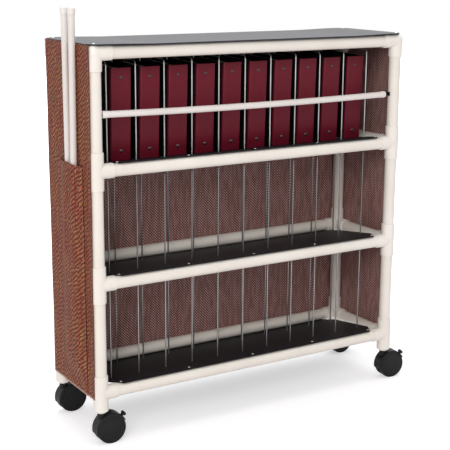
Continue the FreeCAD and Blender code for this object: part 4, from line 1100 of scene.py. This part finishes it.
def build_cover(bm):
    """The cover's board and vinyl, with its upper and lower edges rounded off."""
    outside, inside = cover_outline()
    loop = outside + inside
    outward = []
    for index in range(len(loop)):
        before, after = loop[index - 1], loop[(index + 1) % len(loop)]
        along = Vector((after[0] - before[0], after[1] - before[1], 0)).normalized()
        outward.append(Vector((along.y, -along.x, 0)))
    levels = EDGE_ROUND + [(BINDER_TALL - z, inset) for z, inset in reversed(EDGE_ROUND)]
    rings = []
    for z, inset in levels:
        rings.append([bm.verts.new(Vector((x, y, z)) - normal * inset)
                      for (x, y), normal in zip(loop, outward)])
    for first, second in zip(rings, rings[1:]):
        for index, face in enumerate(bridge(bm, first, second)):
            middle_y = (loop[index][1] + loop[(index + 1) % len(loop)][1]) / 2
            on_spine = middle_y < SPINE_WRAP and index < len(outside)
            # Faces off the spine take the near-black vinyl, the painted shade of the sides and ends.
            face.material_index = SPINE_PART if on_spine else SHADED_SIDE_PART
    for ring in (rings[0], rings[-1]):
        bm.faces.new(ring).material_index = SHADED_SIDE_PART
    bmesh.ops.recalc_face_normals(bm, faces=bm.faces[:])


def build_rivets(bm):
    """Two hollow rivets in the spine."""
    for z in (RIVET_FROM_END, BINDER_TALL - RIVET_FROM_END):
        lathe(bm, RIVET, Vector((0, 0.0001, z)), Vector((0, -1, 0)), RIVET_SIDES)


def add_block(bm, size, centre):
    """A box of a size about its centre."""
    for corner in bmesh.ops.create_cube(bm, size=1.0)["verts"]:
        corner.co = Vector((corner.co.x * size[0], corner.co.y * size[1], corner.co.z * size[2]))
        corner.co += centre


def build_pages(bm):
    """A block of pages, in thin stacks whose edges don't quite line up."""
    middle = Vector((0, BOARD + PAGES_BACK + PAGES_DEEP / 2, PAGES_FOOT + PAGES_TALL / 2))
    for index in range(PAGE_SHEETS):
        share = (index + 0.5) / PAGE_SHEETS - 0.5
        wander = noise.noise(Vector((index * 3.7, 0.5, 0.2))) * PAGE_WANDER
        size = (PAGES_WIDE / PAGE_SHEETS * PAGE_SHARE, PAGES_DEEP - PAGES_SHORT + wander,
                PAGES_TALL - PAGES_LOW + wander)
        add_block(bm, size, middle + Vector((share * PAGES_WIDE, 0, 0)))


def build_rings(bm):
    """Three wire rings and the plate that carries them."""
    for z in RING_HEIGHTS:
        ring = []
        for step in range(RING_STEPS + 1):
            angle = math.pi * step / RING_STEPS
            ring.append(Vector((RING_HALF * math.cos(angle),
                                BOARD + 0.004 + RING_RISE * math.sin(angle), z)))
        sweep(bm, ring, [RING_WIRE] * len(ring), RING_SIDES)
    add_block(bm, RING_PLATE, Vector((0, BOARD + 0.0016, BINDER_TALL / 2)))


def build_binder():
    """One binder, standing with the middle of its spine's foot at the origin."""
    bm = bmesh.new()
    build_cover(bm)
    for build, part in ((build_rivets, RIVET_PART), (build_pages, PAGE_PART), (build_rings, RING_PART)):
        older = set(bm.faces)
        build(bm)
        for face in set(bm.faces) - older:
            face.material_index = part
    mesh = finish_mesh(bm, "ring_binder", 0.6, outward=False)
    for material in (spine_vinyl, side_vinyl_painted_shade, rivet_metal, page_paper, plate_with_painted_glint):
        mesh.materials.append(material)
    return mesh


binder_mesh = build_binder()
low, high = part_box("binder_01")
reach = math.hypot(BINDER_DEEP, BINDER_TALL)
binder_lean = math.atan2(BINDER_TALL, BINDER_DEEP) - math.acos((high.y - low.y) / reach)
for index in range(BINDERS):
    node = f"binder_{index + 1:02d}"
    low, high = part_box(node)
    foot = Vector(((low.x + high.x) / 2, low.y + BINDER_TALL * math.sin(binder_lean), low.z))
    binder = bpy.data.objects.new(f"ring_{node}", binder_mesh)
    bpy.context.scene.collection.objects.link(binder)
    binder.matrix_world = Matrix.Translation(foot) @ Matrix.Rotation(binder_lean, 4, "X")
    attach(binder, node)
    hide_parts(node)
